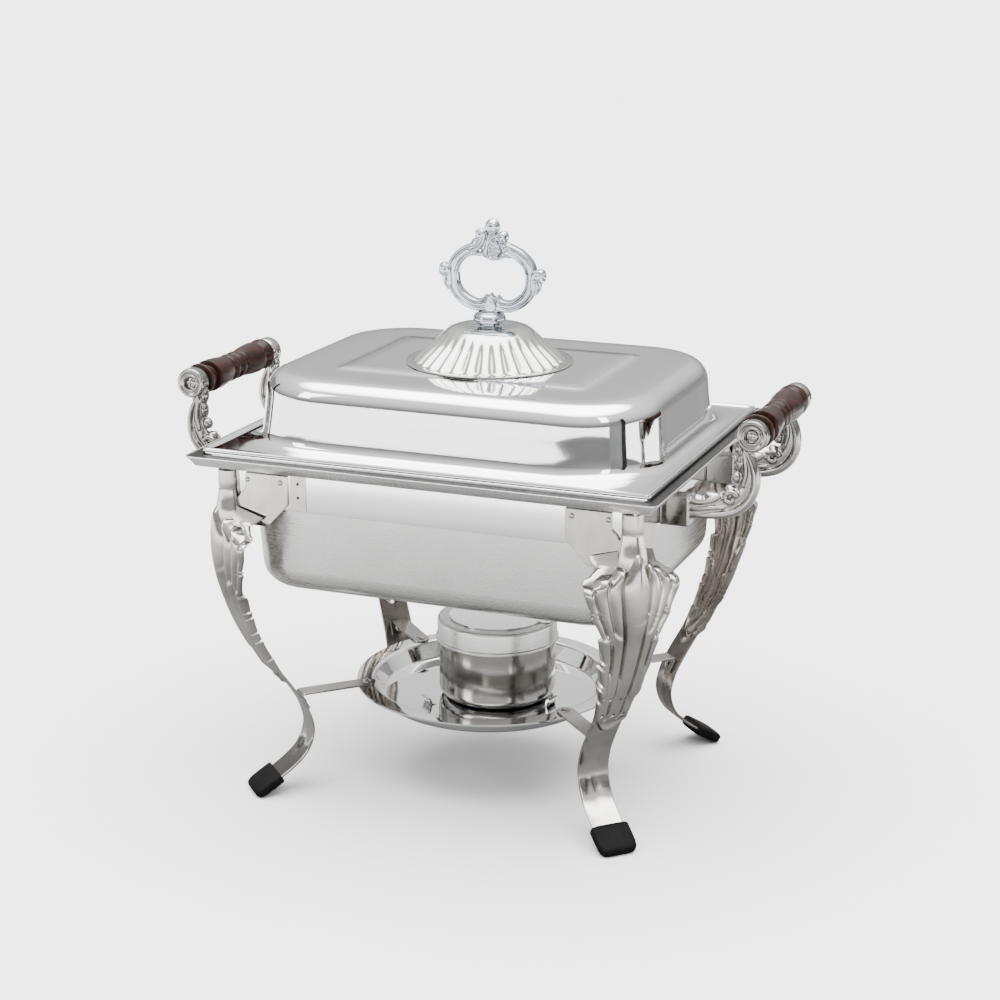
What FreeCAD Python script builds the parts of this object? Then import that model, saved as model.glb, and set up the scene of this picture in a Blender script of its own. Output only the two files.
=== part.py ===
import FreeCAD, Part
import math
import os
import Sketcher

# Half-size rectangular chafing dish: a stamped stand with four leaf legs, a water pan, a food pan,
# a domed lid with a ring handle, and a fuel holder on a shelf dish under the pans.
# Millimetres. Origin on the floor under the centre, X along the long side, front towards -Y, Z up.

SIZES = {
    "pan_length": 325.0,
    "pan_width": 260.0,
    "pan_gauge": 1.2,
    "food_depth": 65.0,
    "food_inset": 17.5,
    "water_depth": 104.0,
    "water_draft": 6.0,
    "pan_corner": 30.0,
    "pan_floor_radius": 20.0,
    "pan_gap": 2.5,
    "flange_reach": 2.0,
    "ledge_side": 12.5,
    "ledge_front": 16.0,
    "rim_height": 265.0,
    "rim_step": 1.0,
    "rim_band": 8.0,
    "rim_slope": 7.0,
    "rim_corner": 7.0,
    "frame_gauge": 1.5,
    "apron_inset": 24.0,
    "apron_drop": 38.0,
    "apron_corner": 3.0,
    "leg_gauge": 2.0,
    "strap_width": 24.0,
    "leaf_width": 74.0,
    "neck_width": 44.0,
    "wing_reach": 47.0,
    "wing_depth": 20.0,
    "wing_gap": 11.5,
    "slot_width": 5.0,
    "column_radius": 7.0,
    "boot_length": 23.0,
    "boot_width": 29.0,
    "boot_thickness": 9.0,
    "shelf_radius": 101.0,
    "shelf_flange": 13.0,
    "shelf_height": 74.0,
    "shelf_depth": 13.0,
    "shelf_gauge": 1.5,
    "shelf_draft": 7.0,
    "stay_width": 13.5,
    "stay_gauge": 1.5,
    "stay_tab": 12.0,
    "stay_clearance": 0.6,
    "stay_rivet_drop": 7.6,
    "lance_radius": 54.0,
    "lance_width": 12.0,
    "lance_rise": 5.0,
    "rivet_radius": 2.2,
    "rivet_head": 3.6,
    "rivet_rise": 1.2,
    "bracket_width": 13.0,
    "bracket_spacing": 114.0,
    "bracket_reach": 63.0,
    "bracket_rise": 31.0,
    "bracket_foot": 22.0,
    "boss_radius": 11.0,
    "rod_radius": 2.5,
    "screw_head": 4.6,
    "screw_sink": 3.0,
    "grip_radius": 12.0,
    "grip_neck": 8.5,
    "grip_ring": 9.0,
    "grip_flare": 14.0,
    "washer_gauge": 0.8,
    "lid_gap": 0.5,
    "lid_gauge": 1.2,
    "lid_lip": 3.0,
    "lid_bead": 1.4,
    "lid_shoulder_x": 16.0,
    "lid_shoulder_y": 20.5,
    "lid_height": 51.6,
    "lid_draft_x": 2.5,
    "lid_draft_y": 5.0,
    "lid_corner": 58.0,
    "lid_edge": 15.0,
    "plateau_length": 186.0,
    "plateau_width": 120.0,
    "plateau_rise": 1.2,
    "knob_radius": 61.0,
    "knob_height": 26.0,
    "knob_gauge": 1.5,
    "collar_radius": 12.0,
    "collar_height": 7.6,
    "collar_neck": 9.0,
    "collar_neck_height": 3.0,
    "ring_half_width": 41.0,
    "ring_height": 49.0,
    "ring_hole_half": 27.0,
    "ring_hole_height": 36.0,
    "ring_base": 6.5,
    "ring_crest": 20.0,
    "ring_thickness": 9.0,
    "stud_radius": 2.5,
    "nut_width": 9.0,
    "nut_height": 4.0,
    "cup_radius": 44.0,
    "cup_height": 45.0,
    "cup_gauge": 1.2,
    "cup_floor_radius": 8.0,
    "cup_offset": 6.0,
    "cap_height": 17.0,
    "cap_gauge": 1.2,
    "cap_bead": 1.2,
    "cap_hole": 27.0,
    "can_gap": 1.8,
    "can_height": 50.0,
    "can_mouth": 18.0,
    "snuffer_radius": 36.0,
    "snuffer_gauge": 1.0,
    "pivot_setback": 4.0,
    "snuffer_angle": 60.0,
    "pivot_radius": 2.0,
    "waist_setback": 43.0,
    "waist_lean": 28.2,
    "toe_rise": 13.5,
    "wing_near": 16.0,
    "wing_far": 42.0,
    "wing_rivet_drop": 4.5,
    "joint_setback": 2.0,
    "joint_width": 12.0,
    "bracket_bite": 8.0,
    "bracket_climb": 68.0,
    "flange_corner": 10.0,
    "food_draft": 8.0,
    "running_gap": 0.3,
}

S = "sizes."
FRAME_X = f"({S}pan_length / 2 + {S}ledge_side)"
FRAME_Y = f"({S}pan_width / 2 + {S}ledge_front)"
APRON_X = f"({FRAME_X} - {S}apron_inset)"
APRON_Y = f"({FRAME_Y} - {S}apron_inset)"
LEDGE_TOP = f"({S}rim_height - {S}rim_step)"
LEDGE_UNDER = f"({LEDGE_TOP} - {S}frame_gauge)"
WING_TOP = f"({LEDGE_UNDER} - {S}wing_gap)"
APRON_BOTTOM = f"({S}rim_height - {S}rim_step - {S}apron_drop)"
WATER_X = f"({APRON_X} - {S}frame_gauge - {S}pan_gap)"
WATER_Y = f"({APRON_Y} - {S}frame_gauge - {S}pan_gap)"
WATER_RIM = f"({LEDGE_TOP} + {S}pan_gauge)"
WATER_FLOOR = f"({LEDGE_TOP} - {S}water_depth)"
FOOD_X = f"({S}pan_length / 2 - {S}food_inset)"
FOOD_Y = f"({S}pan_width / 2 - {S}food_inset)"
FOOD_RIM = f"({WATER_RIM} + {S}pan_gauge)"
LID_X = f"({S}pan_length / 2 + {S}lid_gap + {S}lid_lip)"
LID_Y = f"({S}pan_width / 2 + {S}lid_gap + {S}lid_lip)"
LID_SKIRT = f"({WATER_RIM} + {S}running_gap)"
LID_FLANGE = f"({FOOD_RIM} + {S}lid_gauge)"
LID_ROOF = f"({FOOD_RIM} + {S}lid_height - {S}plateau_rise)"
LID_TOP = f"({FOOD_RIM} + {S}lid_height)"
DOME_X = f"({LID_X} - {S}lid_shoulder_x)"
DOME_Y = f"({LID_Y} - {S}lid_shoulder_y)"
KNOB_TOP = f"({LID_TOP} + {S}knob_height)"
COLLAR_TOP = f"({KNOB_TOP} + {S}collar_neck_height + {S}collar_height)"
SHELF_FLOOR = f"({S}shelf_height - {S}shelf_depth)"
CUP_TOP = f"({SHELF_FLOOR} + {S}cup_height - {S}running_gap)"
CAP_TOP = f"({CUP_TOP} + {S}cap_height)"
BOSS_X = f"({APRON_X} + {S}bracket_reach)"
BOSS_Z = f"({S}rim_height + {S}bracket_rise)"
BOSS_Y = f"({S}bracket_spacing / 2)"
BRACKET_LOW = f"({BOSS_Z} - {S}bracket_climb)"
SNUFFER_LOW = f"({CAP_TOP} + {S}running_gap)"
SNUFFER_TOP = f"({SNUFFER_LOW} + {S}snuffer_gauge + {S}running_gap)"

doc = FreeCAD.newDocument("chafing_dish")
nodes = []


def make_sheet():
    """The driving sizes, one named cell each."""
    sheet = doc.addObject("Spreadsheet::Sheet", "sizes")
    for row, (name, size) in enumerate(SIZES.items(), start=1):
        sheet.set(f"A{row}", name)
        sheet.set(f"B{row}", str(size))
        sheet.setAlias(f"B{row}", name)
    doc.recompute()
    return sheet


sizes = make_sheet()


def worth(expression):
    """The number that an expression on the sheet comes to."""
    return float(sizes.evalExpression(expression.replace(S, "")))


def bind(thing, prop, expression):
    thing.setExpression(prop, expression)


def keep(thing, label):
    """Name a finished sub-part, so that it is written out."""
    thing.Label = label
    nodes.append(thing)
    return thing


# ---------------------------------------------------------------- sketches

def new_body(name):
    return doc.addObject("PartDesign::Body", name)


def new_sketch(body, role="XY_Plane", offset=None):
    """An empty sketch on one of the body's origin planes, moved along its normal by offset."""
    sketch = body.newObject("Sketcher::SketchObject", body.Name + "_sketch")
    plane = [f for f in body.Origin.OriginFeatures if f.Role == role][0]
    sketch.AttachmentSupport = [(plane, "")]
    sketch.MapMode = "FlatFace"
    if offset:
        bind(sketch, "AttachmentOffset.Base.z", offset)
    return sketch


def pin_point(sketch, edge, end, x, y):
    """Hold a vertex at the place that two expressions give."""
    for kind, expression in (("DistanceX", x), ("DistanceY", y)):
        number = sketch.addConstraint(Sketcher.Constraint(kind, edge, end, worth(expression)))
        sketch.setExpression(f"Constraints[{number}]", expression)


def add_outline(sketch, points):
    """A closed outline. Each point is (x, y), or (x, y, radius) when an arc leaves it.

    A positive radius bulges to the right of the way along, a negative one to the left.
    """
    places = [FreeCAD.Vector(worth(p[0]), worth(p[1]), 0) for p in points]
    first = sketch.GeometryCount
    ends = []
    for i, point in enumerate(points):
        start, stop = places[i], places[(i + 1) % len(points)]
        if len(point) == 2:
            sketch.addGeometry(Part.LineSegment(start, stop), False)
            ends.append((1, 2))
        else:
            sketch.addGeometry(arc_between(start, stop, worth(point[2])), False)
            ends.append((1, 2) if worth(point[2]) > 0 else (2, 1))
    for i, point in enumerate(points):
        j = (i + 1) % len(points)
        sketch.addConstraint(
            Sketcher.Constraint("Coincident", first + i, ends[i][1], first + j, ends[j][0]))
        pin_point(sketch, first + i, ends[i][0], point[0], point[1])
        if len(point) == 3:
            radius = abs(worth(point[2]))
            number = sketch.addConstraint(Sketcher.Constraint("Radius", first + i, radius))
            sketch.setExpression(f"Constraints[{number}]", f"abs({point[2]})")


def arc_between(start, stop, radius):
    """The short arc from start to stop, bulging right of the way for a positive radius."""
    chord = stop.sub(start)
    side = FreeCAD.Vector(chord.y, -chord.x, 0).normalize()
    size = abs(radius)
    rise = size - math.sqrt(size * size - (chord.Length / 2) ** 2)
    middle = start.add(stop).multiply(0.5)
    crown = middle.add(FreeCAD.Vector(side).multiply(rise if radius > 0 else -rise))
    return Part.Arc(start, crown, stop)


def add_rectangle(sketch, half_x, half_y):
    add_outline(sketch, [(f"-{half_x}", f"-{half_y}"), (half_x, f"-{half_y}"),
                         (half_x, half_y), (f"-{half_x}", half_y)])


# ---------------------------------------------------------------- features

def pad(body, sketch, length, reverse=False, midplane=False):
    feature = body.newObject("PartDesign::Pad", body.Name + "_pad")
    feature.Profile = sketch
    feature.Reversed = reverse
    feature.Midplane = midplane
    bind(feature, "Length", length)
    return feature


def cut(body, sketch, depth, reverse=False, midplane=False):
    """A pocket, with a test that it takes material away."""
    doc.recompute()
    before = body.Shape.Volume
    feature = body.newObject("PartDesign::Pocket", body.Name + "_pocket")
    feature.Profile = sketch
    feature.Reversed = reverse
    feature.Midplane = midplane
    bind(feature, "Length", depth)
    doc.recompute()
    if body.Shape.Volume >= before:
        raise RuntimeError(f"{feature.Name} cut nothing")
    return feature


def loft(body, sketches, subtract=False):
    kind = "PartDesign::SubtractiveLoft" if subtract else "PartDesign::AdditiveLoft"
    feature = body.newObject(kind, body.Name + "_loft")
    feature.Profile = sketches[0]
    feature.Sections = sketches[1:]
    feature.Ruled = True
    return feature


def revolve(body, sketch):
    feature = body.newObject("PartDesign::Revolution", body.Name + "_turned")
    feature.Profile = sketch
    feature.ReferenceAxis = (sketch, ["V_Axis"])
    feature.Angle = 360
    return feature


def round_edges(body, wanted, radius):
    """Fillet the edges of the body's last feature that the test picks."""
    doc.recompute()
    base = body.Tip
    names = [f"Edge{i}" for i, edge in enumerate(base.Shape.Edges, start=1) if wanted(edge)]
    feature = body.newObject("PartDesign::Fillet", body.Name + "_fillet")
    feature.Base = (base, names)
    bind(feature, "Radius", radius)
    doc.recompute()
    return feature


def upright(edge):
    """An edge that climbs the height of a wall, straight or drafted."""
    return edge.BoundBox.ZLength > 0.5 * edge.Length


def level_at(height):
    """A test for the level edges at one height."""
    def test(edge):
        box = edge.BoundBox
        return abs(box.ZMin - worth(height)) < 0.05 and box.ZLength < 0.05
    return test


def frustum(body, half_x, half_y, top, low_x, low_y, bottom, subtract=False):
    """A drafted block between two level rectangles, added or taken away."""
    upper = new_sketch(body, offset=top)
    add_rectangle(upper, half_x, half_y)
    lower = new_sketch(body, offset=bottom)
    add_rectangle(lower, low_x, low_y)
    return loft(body, [upper, lower], subtract)


def turned(name, points, x=None):
    """A body turned about its upright axis from radius and height pairs, set across by x."""
    body = new_body(name)
    sketch = new_sketch(body, "XZ_Plane")
    add_outline(sketch, points)
    revolve(body, sketch)
    if x:
        bind(body, "Placement.Base.x", x)
    return body


def tub(name, top, bottom, corner, edge, edge_at):
    """A drafted block with rounded corners and one rounded end: top and bottom are (x, y, z)."""
    body = new_body(name)
    frustum(body, *top, *bottom)
    round_edges(body, upright, corner)
    round_edges(body, level_at(edge_at), edge)
    return body


def primitive(kind, name, **bound):
    """A Part primitive with its sizes bound to the sheet."""
    thing = doc.addObject("Part::" + kind, name)
    for prop, expression in bound.items():
        bind(thing, prop.replace("_", "."), expression)
    return thing


def drill(name, radius, length, axis, x="0", y="0", z="0"):
    """A cylinder along one axis, centred on a point, for making holes."""
    turns = {"X": FreeCAD.Rotation(FreeCAD.Vector(0, 1, 0), 90),
             "Y": FreeCAD.Rotation(FreeCAD.Vector(1, 0, 0), -90),
             "Z": FreeCAD.Rotation()}
    start = dict(x=x, y=y, z=z)
    start[axis.lower()] = f"({start[axis.lower()]} - ({length}) / 2)"
    thing = doc.addObject("Part::Cylinder", name)
    thing.Placement = FreeCAD.Placement(FreeCAD.Vector(), turns[axis])
    bind(thing, "Radius", radius)
    bind(thing, "Height", length)
    for key, expression in start.items():
        bind(thing, "Placement.Base." + key, expression)
    return thing


def less(name, base, tool):
    """The base with the tool taken away."""
    result = doc.addObject("Part::Cut", name)
    result.Base = base
    result.Tool = tool
    return result


def joined(name, things):
    """Several things made one."""
    result = doc.addObject("Part::MultiFuse", name)
    result.Shapes = things
    return result


# ---------------------------------------------------------------- stand

CORNERS = {"front_left": (-1, -1), "front_right": (1, -1), "rear_left": (-1, 1), "rear_right": (1, 1)}
SIDES = {"left": -1, "right": 1}
CORNER_REACH = f"({APRON_Y} * sqrt(2))"
STAY_REACH = f"({CORNER_REACH} - {S}waist_setback)"
STAY_TOP = f"({S}shelf_height + {S}stay_gauge)"
SHIFT = f"({APRON_X} - {APRON_Y})"
RIVET_CIRCLE = f"({S}shelf_radius - {S}shelf_flange / 2)"
STAY_RIVET = f"((sqrt(2 * {RIVET_CIRCLE} ^ 2 - {SHIFT} ^ 2) - {SHIFT}) / sqrt(2))"
WING_RIVETS = (f"{S}wing_near", f"{S}wing_far")
BRACKET_RIVETS = ("0.25", "0.75")


def make_rim():
    """The rectangular rim: a level ledge for the pans and a band that slopes in and down."""
    body = new_body("rim")
    gauge = f"{S}frame_gauge"
    bottom = f"({S}rim_height - {S}rim_band)"
    frustum(body, FRAME_X, FRAME_Y, f"{S}rim_height",
            f"({FRAME_X} - {S}rim_slope)", f"({FRAME_Y} - {S}rim_slope)", bottom)
    round_edges(body, upright, f"{S}rim_corner")
    frustum(body, f"({FRAME_X} - 2 * {gauge})", f"({FRAME_Y} - 2 * {gauge})", LEDGE_UNDER,
            f"({FRAME_X} - {S}rim_slope - {gauge})", f"({FRAME_Y} - {S}rim_slope - {gauge})",
            bottom, subtract=True)
    recess = new_sketch(body, offset=LEDGE_TOP)
    add_rectangle(recess, f"({FRAME_X} - {gauge})", f"({FRAME_Y} - {gauge})")
    cut(body, recess, f"{S}rim_step", reverse=True)
    opening = new_sketch(body, offset=LEDGE_TOP)
    add_rectangle(opening, f"({APRON_X} - {gauge})", f"({APRON_Y} - {gauge})")
    cut(body, opening, f"2 * {gauge}")
    return keep(body, "frame_rim")


def wing_drills():
    """Long drills for the rivets that hold the leg wings to the collar."""
    drills = []
    height = f"({WING_TOP} - {S}wing_rivet_drop)"
    for setback in WING_RIVETS:
        for side in (-1, 1):
            drills.append(drill("wing_drill", f"{S}rivet_radius", f"3 * {FRAME_Y}", "Y",
                                x=f"{side} * ({APRON_X} - {setback})", z=height))
            drills.append(drill("wing_drill", f"{S}rivet_radius", f"3 * {FRAME_X}", "X",
                                y=f"{side} * ({APRON_Y} - {setback})", z=height))
    return joined("wing_drills", drills)


def bracket_drills():
    """Drills through the collar's ends into the feet of the handle brackets."""
    drills = []
    for share in BRACKET_RIVETS:
        for side in (-1, 1):
            drills.append(drill("bracket_drill", f"{S}rivet_radius",
                                f"2 * ({APRON_X} + {S}bracket_bite)", "X",
                                y=f"{side} * {BOSS_Y}",
                                z=f"{BRACKET_LOW} + {share} * {S}bracket_foot"))
    return joined("bracket_drills", drills)


def make_apron(wing_holes, bracket_holes):
    """The upright collar under the rim that hides the top of the water pan."""
    body = new_body("apron")
    walls = new_sketch(body, offset=APRON_BOTTOM)
    add_rectangle(walls, APRON_X, APRON_Y)
    add_rectangle(walls, f"({APRON_X} - {S}frame_gauge)", f"({APRON_Y} - {S}frame_gauge)")
    pad(body, walls, f"{S}apron_drop - {S}frame_gauge")
    keep(less("apron_drilled", body, joined("apron_drills", [wing_holes, bracket_holes])),
         "frame_apron")


def make_apron_joint():
    """The lapped strip that closes the collar."""
    body = new_body("apron_joint")
    strip = new_sketch(body, "XZ_Plane", APRON_Y)
    left = f"({S}wing_reach + {S}joint_setback - {APRON_X})"
    right = f"({left} + {S}joint_width)"
    low, high = f"({APRON_BOTTOM} + 1)", f"({S}rim_height - {S}rim_band - 1)"
    add_outline(strip, [(left, low), (right, low), (right, high), (left, high)])
    pad(body, strip, f"{S}frame_gauge / 2")
    return keep(body, "apron_joint_strip")


def leg_stations():
    """Down the middle of a leg's face: distance out, height, width, and how sharply it folds."""
    low = worth(APRON_BOTTOM)
    reach = worth(CORNER_REACH)
    strap, leaf, neck = SIZES["strap_width"], SIZES["leaf_width"], SIZES["neck_width"]
    waist = worth(STAY_REACH)
    shelf = SIZES["shelf_height"]
    lean = math.tan(math.radians(SIZES["waist_lean"]))
    toe = SIZES["toe_rise"]
    knee = shelf - 12 - toe
    return [
        (reach + 3.4, low + 3, neck + 4, 1.0),
        (reach + 8, low - 8, neck, 0.75),
        (reach + 9.5, low - 24, leaf * 0.94, 0.42),
        (reach + 9, low - 38, leaf * 0.86, 0.38),
        (reach + 5, low - 58, leaf * 0.62, 0.36),
        (reach - 4, low - 84, leaf * 0.5, 0.34),
        (reach - 16, low - 108, leaf * 0.4, 0.22),
        (reach - 29, low - 130, strap, 0.08),
        (waist, shelf + 2, strap, 0.0),
        (waist - 14 * lean, shelf - 12, strap, 0.0),
        (waist - 10.5, toe + 0.67 * knee, strap, 0.0),
        (waist - 3, toe + 0.32 * knee, strap, 0.0),
        (waist + 17, toe, strap, 0.0),
        (waist + 31, 5, strap, 0.0),
    ]


def leg_section(stations, i, gauge):
    """The folded strip across the leg at one station, square to the way the leg runs."""
    rho, z, width, fold = stations[i]
    before, after = stations[max(i - 1, 0)], stations[min(i + 1, len(stations) - 1)]
    way = FreeCAD.Vector(after[0] - before[0], 0, after[1] - before[1]).normalize()
    out = FreeCAD.Vector(-way.z, 0, way.x)
    half = width / 2
    rows = []
    for depth in (0.0, gauge):
        for share in (-1, -0.5, 0, 0.5, 1):
            back = FreeCAD.Vector(out).multiply(-fold * half * abs(share) ** 1.25 - depth)
            rows.append(FreeCAD.Vector(rho, share * half, z).add(back))
    outline = rows[:5] + rows[:4:-1]
    return Part.makePolygon(outline + outline[:1])


def wing_plate(side):
    """One of the two flat wings folded back along the collar, with its slanted lower edge."""
    top = worth(WING_TOP)
    low = worth(APRON_BOTTOM)
    reach, depth, gauge = SIZES["wing_reach"], SIZES["wing_depth"], SIZES["leg_gauge"]
    points = [(-gauge, top), (reach, top), (reach, top - depth), (0.62 * reach, low - 6),
              (-gauge, low - 6)]
    outline = Part.makePolygon([FreeCAD.Vector(a, 0, b) for a, b in points + points[:1]])
    plate = Part.Face(outline).extrude(FreeCAD.Vector(0, -gauge, 0))
    slot_height = 0.6 * depth
    slot = Part.makeBox(SIZES["slot_width"], 4 * gauge, slot_height)
    slot.translate(FreeCAD.Vector(1.6 * SIZES["column_radius"] - SIZES["slot_width"] / 2,
                                  -2 * gauge, top - 3 - slot_height))
    plate = plate.cut(slot)
    plate.rotate(FreeCAD.Vector(), FreeCAD.Vector(0, 0, 1), 135)
    return plate if side > 0 else plate.mirror(FreeCAD.Vector(), FreeCAD.Vector(0, 1, 0))


def corner_column():
    """The hollow half-round column that covers the collar's corner between the wings."""
    radius, gauge = SIZES["column_radius"], SIZES["leg_gauge"]
    top, low = worth(WING_TOP), worth(APRON_BOTTOM)
    tube = Part.makeCylinder(radius, top - low, FreeCAD.Vector(0, 0, low))
    tube = tube.cut(Part.makeCylinder(radius - gauge, top, FreeCAD.Vector(0, 0, 0)))
    wedge = Part.makeBox(2 * radius, 2 * radius, top)
    wedge.rotate(FreeCAD.Vector(), FreeCAD.Vector(0, 0, 1), 135)
    return tube.cut(wedge)


def leg_shape():
    """A stamped leg in its own plane: X away from the pans, Y across the leg, Z up."""
    stations = leg_stations()
    wires = [leg_section(stations, i, SIZES["leg_gauge"]) for i in range(len(stations))]
    blade = Part.makeLoft(wires, True, False)
    head = corner_column().fuse([wing_plate(1), wing_plate(-1)])
    head.translate(FreeCAD.Vector(worth(CORNER_REACH), 0, 0))
    collar_corner = Part.makeBox(80, 80, SIZES["apron_drop"])
    collar_corner.rotate(FreeCAD.Vector(), FreeCAD.Vector(0, 0, 1), 135)
    collar_corner.translate(FreeCAD.Vector(worth(CORNER_REACH), 0, worth(APRON_BOTTOM)))
    return blade.fuse(head).cut(collar_corner)


def boot_shape(leg):
    """The rubber boot that a leg's end is pushed into, with a small flat underneath."""
    length, width, thick = SIZES["boot_length"], SIZES["boot_width"], SIZES["boot_thickness"]
    tip, before = leg_stations()[-1], leg_stations()[-2]
    slope = math.degrees(math.atan2(before[1] - tip[1], tip[0] - before[0]))
    block = Part.makeBox(length, width, thick, FreeCAD.Vector(2 - length, -width / 2, -thick / 2))
    block = block.makeFillet(0.3 * thick, block.Edges)
    block.rotate(FreeCAD.Vector(), FreeCAD.Vector(0, 1, 0), slope)
    block.translate(FreeCAD.Vector(tip[0] + 1, 0, tip[1] - 1.6))
    below = Part.makeBox(4 * length, 2 * width, length,
                         FreeCAD.Vector(tip[0] - 2 * length, -width, -length))
    return block.cut(below).cut(leg)


def leg_placement(corner):
    """Where a shape drawn in a leg's own plane stands under its corner of the frame."""
    side_x, side_y = CORNERS[corner]
    turn = FreeCAD.Rotation(FreeCAD.Vector(0, 0, 1), math.degrees(math.atan2(side_y, side_x)))
    return FreeCAD.Placement(FreeCAD.Vector(side_x * worth(SHIFT), 0, 0), turn)


def place_shape(name, shape, placement=None):
    feature = doc.addObject("Part::Feature", name)
    feature.Shape = shape
    if placement:
        feature.Placement = placement
    return feature


def stay_tab_drill():
    """A drill square to a leg's waist, through the stay's turned-down tab."""
    lean = SIZES["waist_lean"]
    along = FreeCAD.Vector(math.cos(math.radians(lean)), 0, -math.sin(math.radians(lean)))
    drop = SIZES["stay_rivet_drop"]
    middle = FreeCAD.Vector(worth(STAY_REACH) - drop * math.tan(math.radians(lean)), 0,
                            SIZES["shelf_height"] + 2 - drop)
    start = middle.sub(FreeCAD.Vector(along).multiply(8))
    return start, along


def make_legs(wing_holes):
    """Four legs with their boots."""
    shape = leg_shape()
    boot = boot_shape(shape)
    start, along = stay_tab_drill()
    shape = shape.cut(Part.makeCylinder(SIZES["rivet_radius"], 16, start, along))
    shape = shape.cut(tab_rivet())
    for corner in CORNERS:
        stamped = place_shape("stamped_leg", shape.copy(), leg_placement(corner))
        keep(less("leg", stamped, wing_holes), "leg_" + corner)
        keep(place_shape("boot", boot.copy(), leg_placement(corner)), "boot_" + corner)


def rivet(length, radius, head, rise, tail=0.8):
    """A rivet along Z: a domed head above zero, a shank below it and a flat tail under that."""
    ball = (head * head + rise * rise) / (2 * rise)
    dome = Part.makeSphere(ball, FreeCAD.Vector(0, 0, rise - ball))
    dome = dome.common(Part.makeCylinder(head, rise + 1))
    shank = Part.makeCylinder(radius, length + 0.2, FreeCAD.Vector(0, 0, -length))
    foot = Part.makeCylinder(head - 0.5, tail, FreeCAD.Vector(0, 0, -length - tail))
    return dome.fuse([shank, foot]).removeSplitter()


def standing(shape, place, direction):
    """A copy of a Z-standing shape at a place, pointing along a direction."""
    turn = FreeCAD.Rotation(FreeCAD.Vector(0, 0, 1), direction)
    moved = shape.copy()
    moved.Placement = FreeCAD.Placement(place, turn)
    return moved


def tab_rivet():
    """The rivet through a stay's tab and a leg's waist, in the leg's own plane."""
    start, along = stay_tab_drill()
    thickness = SIZES["stay_gauge"] + SIZES["leg_gauge"] + SIZES["stay_clearance"]
    one = rivet(thickness, SIZES["rivet_radius"], SIZES["rivet_head"], SIZES["rivet_rise"])
    inside = start.add(FreeCAD.Vector(along).multiply(8 - thickness))
    return standing(one, inside, FreeCAD.Vector(along).negative())


def make_wing_rivets():
    """Four rivets on each leg: two in each wing."""
    grip = SIZES["leg_gauge"] + SIZES["frame_gauge"]
    one = rivet(grip, SIZES["rivet_radius"], SIZES["rivet_head"], SIZES["rivet_rise"])
    height = worth(WING_TOP) - SIZES["wing_rivet_drop"]
    out_x, out_y = worth(APRON_X), worth(APRON_Y)
    gauge = SIZES["leg_gauge"]
    rivets = []
    for side_x, side_y in CORNERS.values():
        for setback in (worth(w) for w in WING_RIVETS):
            front = FreeCAD.Vector(side_x * (out_x - setback), side_y * (out_y + gauge), height)
            rivets.append(standing(one, front, FreeCAD.Vector(0, side_y, 0)))
            end = FreeCAD.Vector(side_x * (out_x + gauge), side_y * (out_y - setback), height)
            rivets.append(standing(one, end, FreeCAD.Vector(side_x, 0, 0)))
    keep(place_shape("wing_rivets", Part.makeCompound(rivets)), "wing_rivets")


def make_shelf():
    """The round dish that carries the fuel holder, with three lanced tabs and four holes."""
    gauge = f"{S}shelf_gauge"
    inner = f"({S}shelf_radius - {S}shelf_flange)"
    floor = f"({inner} - {S}shelf_draft)"
    body = turned("shelf", [
        ("0", f"({SHELF_FLOOR} - {gauge})"), (f"({floor} + {gauge} / 2)", f"({SHELF_FLOOR} - {gauge})"),
        (f"({inner} + {gauge})", f"({S}shelf_height - {gauge})"),
        (f"{S}shelf_radius", f"({S}shelf_height - {gauge})"), (f"{S}shelf_radius", f"{S}shelf_height"),
        (inner, f"{S}shelf_height"), (floor, SHELF_FLOOR), ("0", SHELF_FLOOR)])
    tab = new_sketch(body, offset=f"({SHELF_FLOOR} - {gauge} / 2)")
    near, far = f"({S}lance_radius - {gauge} / 2)", f"({S}lance_radius + {gauge} / 2)"
    half = f"({S}lance_width / 2)"
    add_outline(tab, [(near, f"-{half}"), (far, f"-{half}"), (far, half), (near, half)])
    tab_pad = pad(body, tab, f"{S}lance_rise")
    pattern = body.newObject("PartDesign::PolarPattern", "lances")
    pattern.Originals = [tab_pad]
    pattern.Axis = ([f for f in body.Origin.OriginFeatures if f.Role == "Z_Axis"][0], [""])
    pattern.Angle = 360
    pattern.Occurrences = 3
    body.Tip = pattern
    body.Placement.Rotation = FreeCAD.Rotation(FreeCAD.Vector(0, 0, 1), -10)
    holes = []
    for side_x, side_y in CORNERS.values():
        holes.append(drill("shelf_drill", f"{S}rivet_radius", "8", "Z",
                           x=f"{side_x} * ({SHIFT} + {STAY_RIVET} / sqrt(2))",
                           y=f"{side_y} * {STAY_RIVET} / sqrt(2)", z=f"{S}shelf_height"))
    drilled = joined("shelf_drills", holes)
    keep(less("shelf_drilled", body, drilled), "fuel_shelf")
    return drilled


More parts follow.
